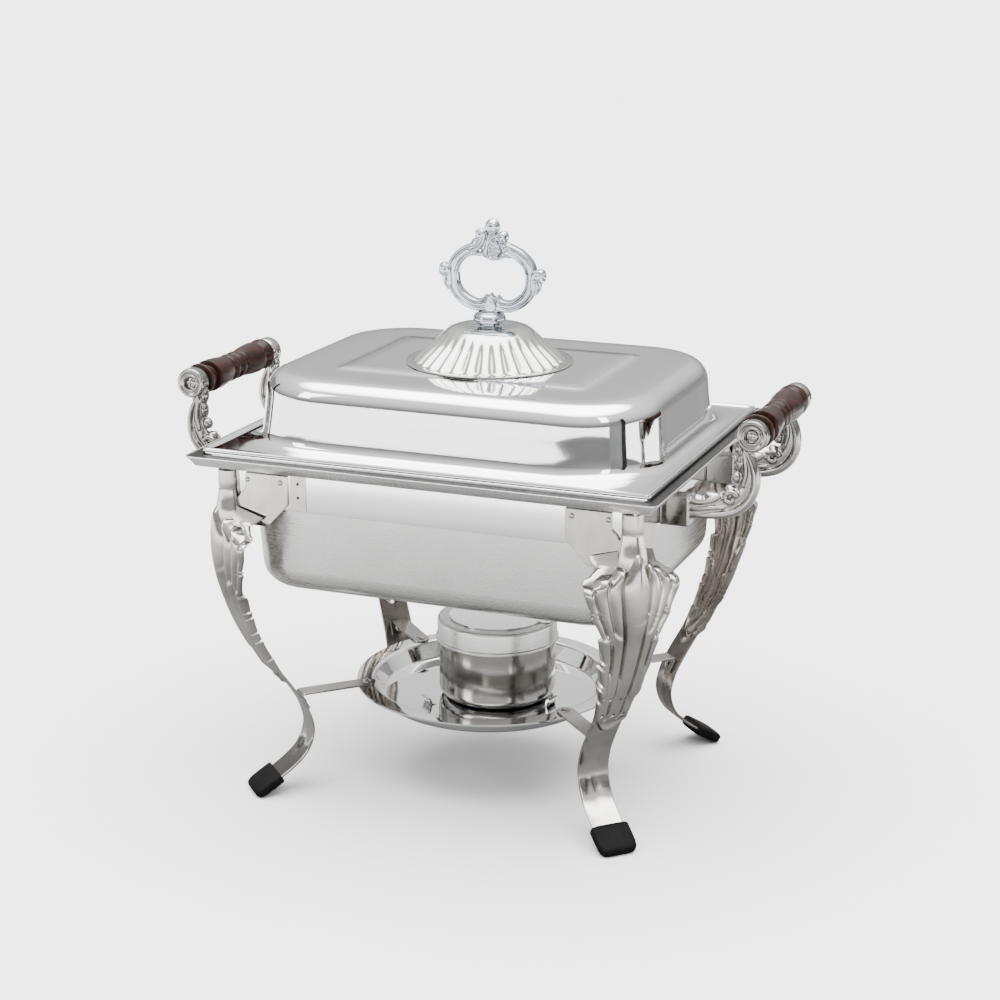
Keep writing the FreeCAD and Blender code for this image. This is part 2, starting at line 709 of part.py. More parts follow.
def make_stays(shelf_holes):
    """Four flat stays from the shelf's rim to the legs, each with a turned-down tab."""
    start, along = stay_tab_drill()
    tab_hole = place_shape("tab_drill", Part.makeCylinder(SIZES["rivet_radius"], 16, start, along))
    lean = f"tan({S}waist_lean * 1deg)"
    gauge = f"{S}stay_gauge"
    face = f"({STAY_REACH} - {S}leg_gauge / cos({S}waist_lean * 1deg) - {S}stay_clearance)"
    fall = f"({S}stay_tab * {lean})"
    back = f"({gauge} / cos({S}waist_lean * 1deg))"
    top_end = f"({face} - 0.5 * {lean})"
    inner = f"({STAY_RIVET} - {S}stay_width / 2)"
    for corner in CORNERS:
        body = new_body("stay")
        side = new_sketch(body, "XZ_Plane")
        add_outline(side, [
            (inner, f"{S}shelf_height"), (f"({top_end} - {back} - {gauge} * {lean})", f"{S}shelf_height"),
            (f"({top_end} - {back} - {fall})", f"({STAY_TOP} - {S}stay_tab)"),
            (f"({top_end} - {fall})", f"({STAY_TOP} - {S}stay_tab)"),
            (top_end, STAY_TOP), (inner, STAY_TOP)])
        pad(body, side, f"{S}stay_width", midplane=True)
        doc.recompute()
        limit = worth(inner) + 0.1
        round_edges(body, lambda e: upright(e) and e.BoundBox.XMax < limit, f"0.48 * {S}stay_width")
        body.Placement = leg_placement(corner)
        bind(body, "Placement.Base.x", f"{CORNERS[corner][0]} * {SHIFT}")
        local_hole = doc.addObject("Part::Feature", "tab_drill")
        local_hole.Shape = tab_hole.Shape.copy()
        local_hole.Placement = leg_placement(corner)
        holes = joined("stay_drills", [shelf_holes, local_hole])
        keep(less("stay_drilled", body, holes), "shelf_stay_" + corner)


def make_stay_rivets():
    """One rivet from each stay into the shelf, and one from each stay's tab into its leg."""
    radius, head, rise = SIZES["rivet_radius"], SIZES["rivet_head"], SIZES["rivet_rise"]
    upright_one = rivet(SIZES["stay_gauge"] + SIZES["shelf_gauge"], radius, head, rise)
    shelf_rivets, leg_rivets = [], []
    for corner in CORNERS:
        place = leg_placement(corner)
        spot = place.multVec(FreeCAD.Vector(worth(STAY_RIVET), 0, worth(STAY_TOP)))
        shelf_rivets.append(standing(upright_one, spot, FreeCAD.Vector(0, 0, 1)))
        leg_rivet = tab_rivet()
        leg_rivet.Placement = place.multiply(leg_rivet.Placement)
        leg_rivets.append(leg_rivet)
    keep(place_shape("shelf_rivets", Part.makeCompound(shelf_rivets)), "shelf_rivets")
    keep(place_shape("stay_rivets", Part.makeCompound(leg_rivets)), "stay_rivets")


# ---------------------------------------------------------------- side handles


def make_brackets(rivet_holes, rod_holes):
    """Four cast scroll brackets that carry the grips out past the rim."""
    boss = BOSS_X
    for side_name, side in SIDES.items():
        for end_name, end in (("front", -1), ("rear", 1)):
            body = new_body("bracket")
            outline = new_sketch(body, "XZ_Plane", f"({S}bracket_width / -2)")
            top = f"({BRACKET_LOW} + {S}bracket_foot)"
            add_outline(outline, [
                (APRON_X, BRACKET_LOW),
                (f"({boss} - 20)", f"({BRACKET_LOW} + 4)", "34"),
                (f"({boss} + 5.5)", f"({BOSS_Z} - 31)", "70"),
                (f"({boss} + 6)", f"({BOSS_Z} - 2)"),
                (f"({boss} - 6)", f"({BOSS_Z} - 2)"),
                (f"({boss} - 8)", f"({BOSS_Z} - 20)"),
                (f"({boss} - 11)", f"({BOSS_Z} - 37)", "-12"),
                (f"({boss} - 22)", f"({BOSS_Z} - 43)"),
                (APRON_X, top)])
            pad(body, outline, f"{S}bracket_width")
            body.Placement = FreeCAD.Placement(
                FreeCAD.Vector(), FreeCAD.Rotation(FreeCAD.Vector(0, 0, 1), 0 if side > 0 else 180))
            bind(body, "Placement.Base.y", f"{end} * {BOSS_Y}")
            knuckle = drill("boss", f"{S}boss_radius", f"{S}bracket_width", "Y",
                            x=f"{side} * {boss}", y=f"{end} * {BOSS_Y}", z=BOSS_Z)
            casting = joined("casting", [body, knuckle])
            sink = drill("counterbore", f"{S}screw_head + 0.4", f"{S}screw_sink", "Y",
                         x=f"{side} * {boss}",
                         y=f"{end} * ({BOSS_Y} + {S}bracket_width / 2 - {S}screw_sink / 2)", z=BOSS_Z)
            holes = joined("bracket_holes", [rivet_holes, rod_holes, sink])
            keep(less("bracket_drilled", casting, holes), f"handle_bracket_{side_name}_{end_name}")


def make_bracket_rivets():
    """Two rivets from inside the collar into the foot of each bracket."""
    flat, bite = 1.2, SIZES["bracket_bite"]
    one = Part.makeCylinder(SIZES["rivet_head"], flat, FreeCAD.Vector(0, 0, -flat))
    one = one.fuse(Part.makeCylinder(SIZES["rivet_radius"], SIZES["frame_gauge"] + bite))
    inside = worth(APRON_X) - SIZES["frame_gauge"]
    rivets = []
    for side_x, side_y in CORNERS.values():
        for share in BRACKET_RIVETS:
            spot = FreeCAD.Vector(side_x * inside, side_y * worth(BOSS_Y),
                                  worth(f"{BRACKET_LOW} + {share} * {S}bracket_foot"))
            rivets.append(standing(one, spot, FreeCAD.Vector(side_x, 0, 0)))
    keep(place_shape("bracket_rivets", Part.makeCompound(rivets)), "bracket_rivets")


def rod_drills():
    """The bore for both tie rods."""
    length = f"({S}bracket_spacing + {S}bracket_width + 2)"
    return joined("rod_drills", [drill("rod_drill", f"{S}rod_radius", length, "Y",
                                       x=f"{side} * {BOSS_X}", z=BOSS_Z) for side in (-1, 1)])


def bead(chord, rise):
    """The radius of an arc that rises so far over a chord."""
    return f"(({chord}) ^ 2 / 4 + ({rise}) ^ 2) / (2 * ({rise}))"


def grip_outline():
    """The turned grip: end flares, two long beads and a double-ringed middle."""
    neck, full, ring = f"{S}grip_neck", f"{S}grip_radius", f"{S}grip_ring"
    half = f"({BOSS_Y} - {S}bracket_width / 2 - {S}washer_gauge)"
    flare = f"({half} - {S}grip_flare)"
    long_bead = bead(f"{flare} - {ring}", f"{full} - {neck}")
    ring_bead = bead(ring, f"0.6 * ({full} - {neck})")
    return [
        (f"{S}rod_radius", f"-{half}"), (f"({full} - 1)", f"-{half}"), (full, f"(3 - {half})"),
        (neck, f"-{flare}", long_bead), (neck, f"-{ring}", ring_bead), (neck, "0", ring_bead),
        (neck, ring, long_bead), (neck, flare), (full, f"({half} - 3)"),
        (f"({full} - 1)", half), (f"{S}rod_radius", half)]


def make_grips():
    """Turned grips with their tie rods, end washers and screws."""
    for side_name, side in SIDES.items():
        body = new_body("grip")
        outline = new_sketch(body, "XY_Plane")
        add_outline(outline, grip_outline())
        revolve(body, outline)
        bind(body, "Placement.Base.x", f"{side} * {BOSS_X}")
        bind(body, "Placement.Base.z", BOSS_Z)
        keep(body, f"handle_grip_{side_name}")
        rod_length = f"({S}bracket_spacing + {S}bracket_width - 2 * {S}screw_sink)"
        rod = drill("rod", f"{S}rod_radius", rod_length, "Y", x=f"{side} * {BOSS_X}", z=BOSS_Z)
        keep(rod, f"handle_rod_{side_name}")
        heads, washers = [], []
        for end in (-1, 1):
            heads.append(drill("screw_head", f"{S}screw_head", f"({S}screw_sink - 0.6)", "Y",
                               x=f"{side} * {BOSS_X}", z=BOSS_Z,
                               y=f"{end} * ({BOSS_Y} + {S}bracket_width / 2 - {S}screw_sink / 2 - 0.3)"))
            disc = drill("washer", f"{S}boss_radius - 1", f"{S}washer_gauge", "Y",
                         x=f"{side} * {BOSS_X}", z=BOSS_Z,
                         y=f"{end} * ({BOSS_Y} - {S}bracket_width / 2 - {S}washer_gauge / 2)")
            bore = drill("washer_bore", f"{S}rod_radius", "6", "Y", x=f"{side} * {BOSS_X}", z=BOSS_Z,
                         y=f"{end} * {BOSS_Y} - {end} * {S}bracket_width / 2")
            washers.append(less("washer_ring", disc, bore))
        for name, group in (("handle_screws_", heads), ("grip_washers_", washers)):
            pair = doc.addObject("Part::Compound", name + side_name)
            pair.Links = group
            keep(pair, name + side_name)


# ---------------------------------------------------------------- pans

def make_pan(label, top, bottom, flange, rim, corner, floor_radius):
    """A deep-drawn pan: a hollow drafted tub under a flat flange. top and bottom are (x, y, z)."""
    gauge = f"{S}pan_gauge"
    outer = tub(label + "_outside", top, bottom, corner, floor_radius, bottom[2])
    lip = new_sketch(outer, offset=top[2])
    add_rectangle(lip, *flange)
    pad(outer, lip, f"({rim} - {top[2]})")
    reach = worth(flange[0]) - 0.5
    round_edges(outer, lambda e: upright(e) and abs(e.BoundBox.XMax) > reach
                or upright(e) and abs(e.BoundBox.XMin) > reach, f"{S}flange_corner")
    hollow = tub(label + "_hollow",
                 (f"({top[0]} - {gauge})", f"({top[1]} - {gauge})", rim),
                 (f"({bottom[0]} - {gauge})", f"({bottom[1]} - {gauge})", f"({bottom[2]} + {gauge})"),
                 f"({corner} - {gauge})", f"({floor_radius} - {gauge})", f"({bottom[2]} + {gauge})")
    return keep(less(label, outer, hollow), label)


def make_water_pan():
    make_pan("water_pan", (WATER_X, WATER_Y, LEDGE_TOP),
             (f"({WATER_X} - {S}water_draft)", f"({WATER_Y} - {S}water_draft)", WATER_FLOOR),
             (f"({S}pan_length / 2 + {S}flange_reach)", f"({S}pan_width / 2 + {S}flange_reach)"),
             WATER_RIM, f"{S}pan_corner", f"{S}pan_floor_radius")


def make_food_pan():
    make_pan("food_pan", (FOOD_X, FOOD_Y, WATER_RIM),
             (f"({FOOD_X} - {S}food_draft)", f"({FOOD_Y} - {S}food_draft)",
              f"({FOOD_RIM} - {S}food_depth)"),
             (f"({S}pan_length / 2)", f"({S}pan_width / 2)"),
             FOOD_RIM, f"({S}pan_corner - 4)", f"({S}pan_floor_radius - 6)")


# ---------------------------------------------------------------- lid

def make_lid():
    """The drawn lid: a skirted flange, a drafted dome and a raised panel on its roof."""
    gauge = f"{S}lid_gauge"
    outer = tub("lid_outside",
                (f"({DOME_X} - {S}lid_draft_x)", f"({DOME_Y} - {S}lid_draft_y)", LID_ROOF),
                (DOME_X, DOME_Y, FOOD_RIM), f"{S}lid_corner", f"{S}lid_edge", LID_ROOF)
    flange = new_sketch(outer, offset=FOOD_RIM)
    add_rectangle(flange, LID_X, LID_Y)
    pad(outer, flange, gauge)
    skirt = new_sketch(outer, offset=LID_SKIRT)
    add_rectangle(skirt, LID_X, LID_Y)
    add_rectangle(skirt, f"({LID_X} - {S}lid_lip)", f"({LID_Y} - {S}lid_lip)")
    pad(outer, skirt, f"({LID_FLANGE} + {S}lid_bead - {LID_SKIRT})")
    panel = new_sketch(outer, offset=f"({LID_ROOF} - {gauge} / 2)")
    add_rectangle(panel, f"({S}plateau_length / 2)", f"({S}plateau_width / 2)")
    pad(outer, panel, f"({S}plateau_rise + {gauge} / 2)")
    hollow = tub("lid_hollow",
                 (f"({DOME_X} - {S}lid_draft_x - {gauge})", f"({DOME_Y} - {S}lid_draft_y - {gauge})",
                  f"({LID_ROOF} - {gauge})"),
                 (f"({DOME_X} - {gauge})", f"({DOME_Y} - {gauge})", FOOD_RIM),
                 f"({S}lid_corner - {gauge})", f"({S}lid_edge - {gauge})", f"({LID_ROOF} - {gauge})")
    bore = drill("lid_bore", f"{S}stud_radius", "30", "Z", z=LID_TOP)
    keep(less("lid_shell", less("lid_open", outer, hollow), bore), "lid_shell")


def make_knob():
    """The domed base, collar, ring, stud, washer and nut of the lid's handle."""
    gauge, bore = f"{S}knob_gauge", f"{S}stud_radius"
    r, top = f"{S}knob_radius", KNOB_TOP
    keep(turned("knob", [
        (bore, f"({top} - {gauge})"), (f"(0.38 * {r})", f"({top} - 3 - {gauge})"),
        (f"(0.58 * {r})", f"({top} - 9.5 - {gauge})"), (f"(0.84 * {r})", f"({LID_TOP} + 4 - {gauge})"),
        (f"(0.89 * {r})", LID_TOP), (r, LID_TOP), (r, f"({LID_TOP} + {gauge})"),
        (f"(0.93 * {r})", f"({LID_TOP} + {gauge})"), (f"(0.87 * {r})", f"({LID_TOP} + 4.5)"),
        (f"(0.61 * {r})", f"({top} - 9)"), (f"(0.40 * {r})", f"({top} - 3)"), (bore, top)]),
        "lid_handle_base")
    neck = f"({top} + {S}collar_neck_height)"
    keep(turned("collar", [
        (bore, top), (f"{S}collar_neck", top), (f"{S}collar_neck", neck), (f"{S}collar_radius", neck),
        (f"{S}collar_radius", f"({neck} + {S}collar_height)"), (bore, f"({neck} + {S}collar_height)")]),
        "lid_handle_collar")
    make_ring()
    stud_low = f"({LID_ROOF} - {S}lid_gauge - 2 - {S}nut_height - 1.5)"
    stud_high = f"({COLLAR_TOP} + {S}ring_base - 1)"
    keep(turned("stud", [("0", stud_low), (bore, stud_low), (bore, stud_high), ("0", stud_high)]),
         "lid_handle_stud")
    under = f"({LID_ROOF} - {S}lid_gauge)"
    keep(turned("washer", [(bore, f"({under} - 1)"), (f"(1.6 * {S}nut_width)", f"({under} - 1)"),
                           (f"(1.6 * {S}nut_width)", under), (bore, under)]), "lid_handle_washer")
    nut = primitive("Prism", "nut", Circumradius=f"{S}nut_width / 2 / cos(30 * 1deg)",
                    Height=f"{S}nut_height", Placement_Base_z=f"({under} - 1 - {S}nut_height)")
    nut.Polygon = 6
    nut_bore = drill("nut_bore", bore, "20", "Z", z=under)
    keep(less("nut_drilled", nut, nut_bore), "lid_handle_nut")


def oval(name, half_width, half_height, height, depth):
    """An upright elliptical slab facing the front, centred on the Z axis at one height."""
    upright_turn = FreeCAD.Rotation(FreeCAD.Vector(1, 0, 0), 90)
    long_way, short_way = half_width, half_height
    if worth(half_height) > worth(half_width):
        long_way, short_way = half_height, half_width
        upright_turn = FreeCAD.Rotation(FreeCAD.Vector(0, 1, 0), 90).multiply(upright_turn)
    ring = doc.addObject("Part::Ellipse", name)
    ring.MajorRadius, ring.MinorRadius = worth(long_way), worth(short_way)
    ring.Placement = FreeCAD.Placement(FreeCAD.Vector(), upright_turn)
    bind(ring, "MajorRadius", long_way)
    bind(ring, "MinorRadius", short_way)
    bind(ring, "Placement.Base.z", height)
    slab = doc.addObject("Part::Extrusion", name + "_slab")
    slab.Base = ring
    slab.DirMode = "Custom"
    slab.Dir = FreeCAD.Vector(0, 1, 0)
    slab.Solid = True
    slab.Symmetric = True
    bind(slab, "LengthFwd", depth)
    return slab


def make_ring():
    """The cast ring: an oval loop with a foot below and a shell crest above."""
    depth = f"{S}ring_thickness"
    middle = f"({COLLAR_TOP} + {S}ring_height / 2)"
    loop = oval("ring_outside", f"{S}ring_half_width", f"({S}ring_height / 2)", middle, depth)
    crest = oval("ring_crest", "13", f"{S}ring_crest", f"({COLLAR_TOP} + {S}ring_height - 1)", depth)
    foot = primitive("Cylinder", "ring_foot", Radius=f"({S}collar_radius - 1)",
                     Height=f"({S}ring_base - 1)", Placement_Base_z=COLLAR_TOP)
    solid = joined("ring_solid", [loop, crest, foot])
    hole = oval("ring_hole", f"{S}ring_hole_half", f"({S}ring_hole_height / 2)", middle, f"3 * {depth}")
    bore = drill("ring_bore", f"{S}stud_radius", f"(3 * {S}ring_base)", "Z", z=COLLAR_TOP)
    keep(less("ring", solid, joined("ring_holes", [hole, bore])), "lid_handle_ring")


# ---------------------------------------------------------------- fuel holder

def make_fuel_holder():
    """The round holder: a cup, the fuel can in it, a cap with a flame opening, and a swing lid."""
    x, gauge = f"{S}cup_offset", f"{S}cup_gauge"
    r, low = f"{S}cup_radius", f"({SHELF_FLOOR} + {S}running_gap)"
    curve = f"{S}cup_floor_radius"
    keep(turned("cup", [
        ("0", low), (f"({r} - {curve})", low, curve), (r, f"({low} + {curve})"), (r, CUP_TOP),
        (f"({r} - {gauge})", CUP_TOP), (f"({r} - {gauge})", f"({low} + {curve})", f"-({curve} - {gauge})"),
        (f"({r} - {curve})", f"({low} + {gauge})"), ("0", f"({low} + {gauge})")], x), "fuel_cup")
    can, base = f"({r} - {gauge} - {S}can_gap)", f"({low} + {gauge})"
    brim = f"({base} + {S}can_height)"
    keep(turned("can", [
        ("0", base), (f"({can} - 8)", base), (can, f"({base} + 8)"), (can, brim),
        (f"{S}can_mouth", brim), (f"{S}can_mouth", f"({brim} - 6)"), ("0", f"({brim} - 6)")], x),
        "fuel_can")
    wall, sheet = f"({r} + {S}cap_bead)", f"{S}cap_gauge"
    pivot_x = f"(({r} - {S}pivot_setback) * cos({S}snuffer_angle * 1deg))"
    pivot_y = f"(({r} - {S}pivot_setback) * sin({S}snuffer_angle * 1deg))"
    cap = turned("cap", [
        (f"({r} - {gauge})", CUP_TOP), (f"({wall} + {S}cap_bead)", CUP_TOP),
        (f"({wall} + {S}cap_bead)", f"({CUP_TOP} + 2.5)"), (wall, f"({CUP_TOP} + 3)"), (wall, CAP_TOP),
        (f"{S}cap_hole", CAP_TOP), (f"{S}cap_hole", f"({CAP_TOP} - {sheet})"),
        (f"({wall} - {sheet})", f"({CAP_TOP} - {sheet})"),
        (f"({wall} - {sheet})", f"({CUP_TOP} + 3)"), (f"({r} - {gauge})", f"({CUP_TOP} + 3)")], x)
    pin_hole = drill("pin_hole", f"{S}pivot_radius", "12", "Z", z=CAP_TOP,
                     x=f"({x} + {pivot_x})", y=pivot_y)
    keep(less("cap_drilled", cap, pin_hole), "fuel_cap")
    pin = turned("pin", [
        ("0", f"({CAP_TOP} - {sheet} - 1)"), (f"(1.7 * {S}pivot_radius)", f"({CAP_TOP} - {sheet} - 1)"),
        (f"(1.7 * {S}pivot_radius)", f"({CAP_TOP} - {sheet})"),
        (f"{S}pivot_radius", f"({CAP_TOP} - {sheet})"), (f"{S}pivot_radius", SNUFFER_TOP),
        (f"(1.7 * {S}pivot_radius)", SNUFFER_TOP), (f"(1.7 * {S}pivot_radius)", f"({SNUFFER_TOP} + 1)"),
        ("0", f"({SNUFFER_TOP} + 1)")], f"({x} + {pivot_x})")
    bind(pin, "Placement.Base.y", pivot_y)
    keep(pin, "snuffer_pin")
    make_snuffer(x, pivot_x, pivot_y)


def make_snuffer(x, pivot_x, pivot_y):
    """The disc that swings over the flame opening, with an ear at its pivot and a finger lug."""
    gauge = f"{S}snuffer_gauge"
    disc = primitive("Cylinder", "swing_disc", Radius=f"{S}snuffer_radius", Height=gauge,
                     Placement_Base_x=x, Placement_Base_z=SNUFFER_LOW)
    ear = primitive("Cylinder", "snuffer_ear", Radius=f"(3 * {S}pivot_radius)", Height=gauge,
                    Placement_Base_x=f"({x} + {pivot_x})", Placement_Base_y=pivot_y,
                    Placement_Base_z=SNUFFER_LOW)
    lug = primitive("Cylinder", "snuffer_lug", Radius=f"(3 * {S}pivot_radius)", Height=gauge,
                    Placement_Base_x=f"({x} + {S}snuffer_radius + {S}pivot_radius)",
                    Placement_Base_z=SNUFFER_LOW)
    hole = drill("snuffer_hole", f"({S}pivot_radius + 0.05)", "20", "Z", z=CAP_TOP,
                 x=f"({x} + {pivot_x})", y=pivot_y)
    keep(less("snuffer", joined("snuffer_plate", [disc, ear, lug]), hole), "snuffer_disc")


# ---------------------------------------------------------------- all of it

def build():
    wing_holes, bracket_holes, rod_holes = wing_drills(), bracket_drills(), rod_drills()
    make_rim()
    make_apron(wing_holes, bracket_holes)
    make_apron_joint()
    make_legs(wing_holes)
    make_wing_rivets()
    shelf_holes = make_shelf()
    make_stays(shelf_holes)
    make_stay_rivets()
    make_brackets(bracket_holes, rod_holes)
    make_bracket_rivets()
    make_grips()
    make_water_pan()
    make_food_pan()
    make_lid()
    make_knob()
    make_fuel_holder()


def faults():
    """What is wrong in the document, in words."""
    found = []
    for thing in doc.Objects:
        if {"Invalid", "Error"} & set(thing.State):
            found.append(f"{thing.Name} is {thing.State}")
    for node in nodes:
        shape = node.Shape
        if shape.isNull() or not shape.isValid() or not shape.Solids:
            found.append(f"{node.Label} has no sound shape")
    return found


build()
doc.recompute()
problems = faults()
if problems:
    raise SystemExit("\n".join(problems))
os.makedirs("parts", exist_ok=True)
for node in nodes:
    node.Shape.exportStep(f"parts/{node.Label}.step")
    box = node.Shape.BoundBox
    print(f"{node.Label:30s} {len(node.Shape.Solids):3d} solids  z {box.ZMin:7.2f} {box.ZMax:7.2f}")
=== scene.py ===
import math

import bmesh
import bpy
import numpy as np
from mathutils import Matrix, Vector


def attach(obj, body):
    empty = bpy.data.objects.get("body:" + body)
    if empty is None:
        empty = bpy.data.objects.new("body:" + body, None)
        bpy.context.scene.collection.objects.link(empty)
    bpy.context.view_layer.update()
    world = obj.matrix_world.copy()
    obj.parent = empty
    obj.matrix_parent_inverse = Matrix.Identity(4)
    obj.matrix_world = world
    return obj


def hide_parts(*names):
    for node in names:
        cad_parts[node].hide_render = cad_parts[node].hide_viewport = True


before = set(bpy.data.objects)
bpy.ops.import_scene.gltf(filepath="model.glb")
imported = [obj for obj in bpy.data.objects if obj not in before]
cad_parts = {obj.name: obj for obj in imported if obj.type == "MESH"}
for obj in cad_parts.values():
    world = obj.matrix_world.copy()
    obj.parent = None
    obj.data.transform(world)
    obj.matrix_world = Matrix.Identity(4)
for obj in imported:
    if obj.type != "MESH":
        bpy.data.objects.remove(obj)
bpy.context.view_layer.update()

MM = 0.001
LEG_SHIFT = 29.0                        # half of the frame's extra length along x
POST_X, POST_Y = 151, 122               # the outside of the apron
GRIP_X, GRIP_Z, BRACKET_Y = 214, 296, 57
HOLDER_X = 6.0                          # the middle of the fuel holder
FLUTES, FLUTE_STEPS = 30, 14            # flutes on the lid's foot, and mesh steps in each
STAY_HALF = 6.75                        # half of a stay's width
STAY_LEAN = math.radians(28.2)          # the lean of a stay's lower end, along the leg


# ------------------------------------------------------------------ material makers

def new_material(name):
    """A node material and its shader."""
    material = bpy.data.materials.new(name)
    material.use_nodes = True
    return material, material.node_tree, material.node_tree.nodes["Principled BSDF"]


def spot(tree, kind, **settings):
    """A node with its sockets set by name."""
    node = tree.nodes.new(kind)
    for key, value in settings.items():
        socket = node.inputs.get(key.replace("_", " "))
        if socket is not None:
            socket.default_value = value
        else:
            setattr(node, key, value)
    return node


def wire(tree, source, output, target, socket):
    """A link from one node's output to another node's input."""
    tree.links.new(source.outputs[output], target.inputs[socket])


def texture_place(tree, scale):
    """Object coordinates through a mapping that stretches the pattern."""
    place = tree.nodes.new("ShaderNodeTexCoord")
    mapping = spot(tree, "ShaderNodeMapping", Scale=scale)
    wire(tree, place, "Object", mapping, "Vector")
    return mapping.outputs["Vector"]


def maths(tree, operation, *values):
    """The result of a maths node fed by sockets and numbers."""
    node = spot(tree, "ShaderNodeMath", operation=operation)
    for socket, value in zip(node.inputs, values):
        if isinstance(value, float):
            socket.default_value = value
        else:
            tree.links.new(value, socket)
    return node.outputs[0]


def ramp(tree, factor, low, high, start=0.0, end=1.0, between=()):
    """A colour ramp fed by a factor, with grey stops between its ends if asked."""
    node = tree.nodes.new("ShaderNodeValToRGB")
    node.color_ramp.elements[0].color = low
    node.color_ramp.elements[0].position = start
    node.color_ramp.elements[1].color = high
    node.color_ramp.elements[1].position = end
    for stop, shade in between:
        node.color_ramp.elements.new(stop).color = grey(shade)
    tree.links.new(factor, node.inputs["Fac"])
    return node.outputs["Color"]


def grey(value):
    return (value, value, value, 1.0)


def range_of(tree, factor, low, high, start=0.0, end=1.0):
    """A factor stretched onto a range of numbers."""
    node = spot(tree, "ShaderNodeMapRange", To_Min=low, To_Max=high, From_Min=start, From_Max=end)
    tree.links.new(factor, node.inputs["Value"])
    return node.outputs["Result"]


def steel(name, tint, dark, rough, grain_scale=(900, 900, 900), grain=0.0, smear=0.03):
    """Stainless steel: faint tarnish in its colour, uneven polish, and a drawn grain if asked."""
    material, tree, shader = new_material(name)
    shader.inputs["Metallic"].default_value = 1.0
    place = texture_place(tree, (1, 1, 1))
    cloud = spot(tree, "ShaderNodeTexNoise", Scale=14.0, Detail=5.0, Roughness=0.6)
    tree.links.new(place, cloud.inputs["Vector"])
    colour = ramp(tree, cloud.outputs["Fac"], dark, tint, 0.32, 0.62)
    tree.links.new(colour, shader.inputs["Base Color"])
    lines = spot(tree, "ShaderNodeTexNoise", Scale=1.0, Detail=3.0, Roughness=0.7)
    tree.links.new(texture_place(tree, grain_scale), lines.inputs["Vector"])
    tree.links.new(range_of(tree, lines.outputs["Fac"], rough - smear, rough + smear, 0.3, 0.7),
                   shader.inputs["Roughness"])
    bump = spot(tree, "ShaderNodeBump", Strength=1.0, Distance=1.0)
    tree.links.new(maths(tree, "MULTIPLY", lines.outputs["Fac"], grain), bump.inputs["Height"])
    wire(tree, bump, "Normal", shader, "Normal")
    return material


def make_wood():
    """Dark lacquered hardwood: streaks along the grip under a clear coat."""
    material, tree, shader = new_material("lacquered_wood")
    place = texture_place(tree, (260, 34, 260))
    streak = spot(tree, "ShaderNodeTexNoise", Scale=1.0, Detail=8.0, Roughness=0.65, Distortion=1.2)
    tree.links.new(place, streak.inputs["Vector"])
    colour = ramp(tree, streak.outputs["Fac"], (0.003, 0.001, 0.0006, 1), (0.028, 0.007, 0.0035, 1), 0.3,
                  0.72)
    tree.links.new(colour, shader.inputs["Base Color"])
    tree.links.new(range_of(tree, streak.outputs["Fac"], 0.28, 0.42), shader.inputs["Roughness"])
    shader.inputs["Coat Weight"].default_value = 0.12
    shader.inputs["Specular IOR Level"].default_value = 0.12
    shader.inputs["Coat Roughness"].default_value = 0.12
    bump = spot(tree, "ShaderNodeBump", Strength=0.25, Distance=0.0003)
    wire(tree, streak, "Fac", bump, "Height")
    wire(tree, bump, "Normal", shader, "Normal")
    return material


def make_rubber():
    """Matte black rubber with a fine moulded texture and a little dust."""
    material, tree, shader = new_material("boot_rubber")
    place = texture_place(tree, (1, 1, 1))
    fine = spot(tree, "ShaderNodeTexNoise", Scale=1400.0, Detail=3.0)
    dust = spot(tree, "ShaderNodeTexNoise", Scale=90.0, Detail=6.0, Roughness=0.7)
    for noise in (fine, dust):
        tree.links.new(place, noise.inputs["Vector"])
    colour = ramp(tree, dust.outputs["Fac"], grey(0.002), grey(0.006), 0.4, 0.75)
    tree.links.new(colour, shader.inputs["Base Color"])
    tree.links.new(range_of(tree, dust.outputs["Fac"], 0.5, 0.72), shader.inputs["Roughness"])
    shader.inputs["Specular IOR Level"].default_value = 0.1
    bump = spot(tree, "ShaderNodeBump", Strength=0.4, Distance=0.0002)
    wire(tree, fine, "Fac", bump, "Height")
    wire(tree, bump, "Normal", shader, "Normal")
    return material


MIRROR = steel("mirror_steel", (0.83, 0.835, 0.84, 1), (0.79, 0.795, 0.80, 1), 0.055, smear=0.02)
BRUSHED = steel("brushed_steel", (0.76, 0.755, 0.745, 1), (0.68, 0.675, 0.665, 1), 0.27,
                grain_scale=(12, 12, 2600), grain=0.000004, smear=0.05)
SATIN = steel("satin_steel", (0.54, 0.525, 0.495, 1), (0.24, 0.23, 0.21, 1), 0.16, smear=0.05)
CAST = steel("plated_casting", (0.40, 0.39, 0.37, 1), (0.13, 0.125, 0.11, 1), 0.14, smear=0.05)
CHROME = steel("bright_chrome", (0.47, 0.50, 0.54, 1), (0.30, 0.325, 0.36, 1), 0.06, smear=0.02)
FLUTED = steel("fluted_steel", (0.58, 0.575, 0.56, 1), (0.46, 0.455, 0.44, 1), 0.10, smear=0.03)
BRIGHT = steel("bright_satin_steel", (0.90, 0.895, 0.885, 1), (0.84, 0.835, 0.82, 1), 0.24, smear=0.05)
# Near-black steel: painted shade on the ledge strip, where the gap under the lid's bead is in shade; it
# also makes the two joint rivet heads black.
GAP_SHADE_AND_RIVET_BLACK = steel("painted_gap_shade_and_rivet_black", (0.05, 0.048, 0.045, 1), (0.02, 0.02, 0.019, 1), 0.35, smear=0.05)
# Painted shade: a darker, browner copy of the satin steel, for the rear legs only.
REAR_LEG_PAINTED_SHADE = steel("painted_shade_steel", (0.44, 0.40, 0.36, 1), (0.20, 0.175, 0.15, 1), 0.18, smear=0.05)
SMOKED = steel("dark_steel", (0.40, 0.385, 0.36, 1), (0.30, 0.29, 0.27, 1), 0.16, smear=0.04)
WOOD, RUBBER = make_wood(), make_rubber()
TIN = steel("tinned_sheet", (0.62, 0.61, 0.58, 1), (0.45, 0.44, 0.42, 1), 0.34, smear=0.08)


# ------------------------------------------------------------------ mesh makers

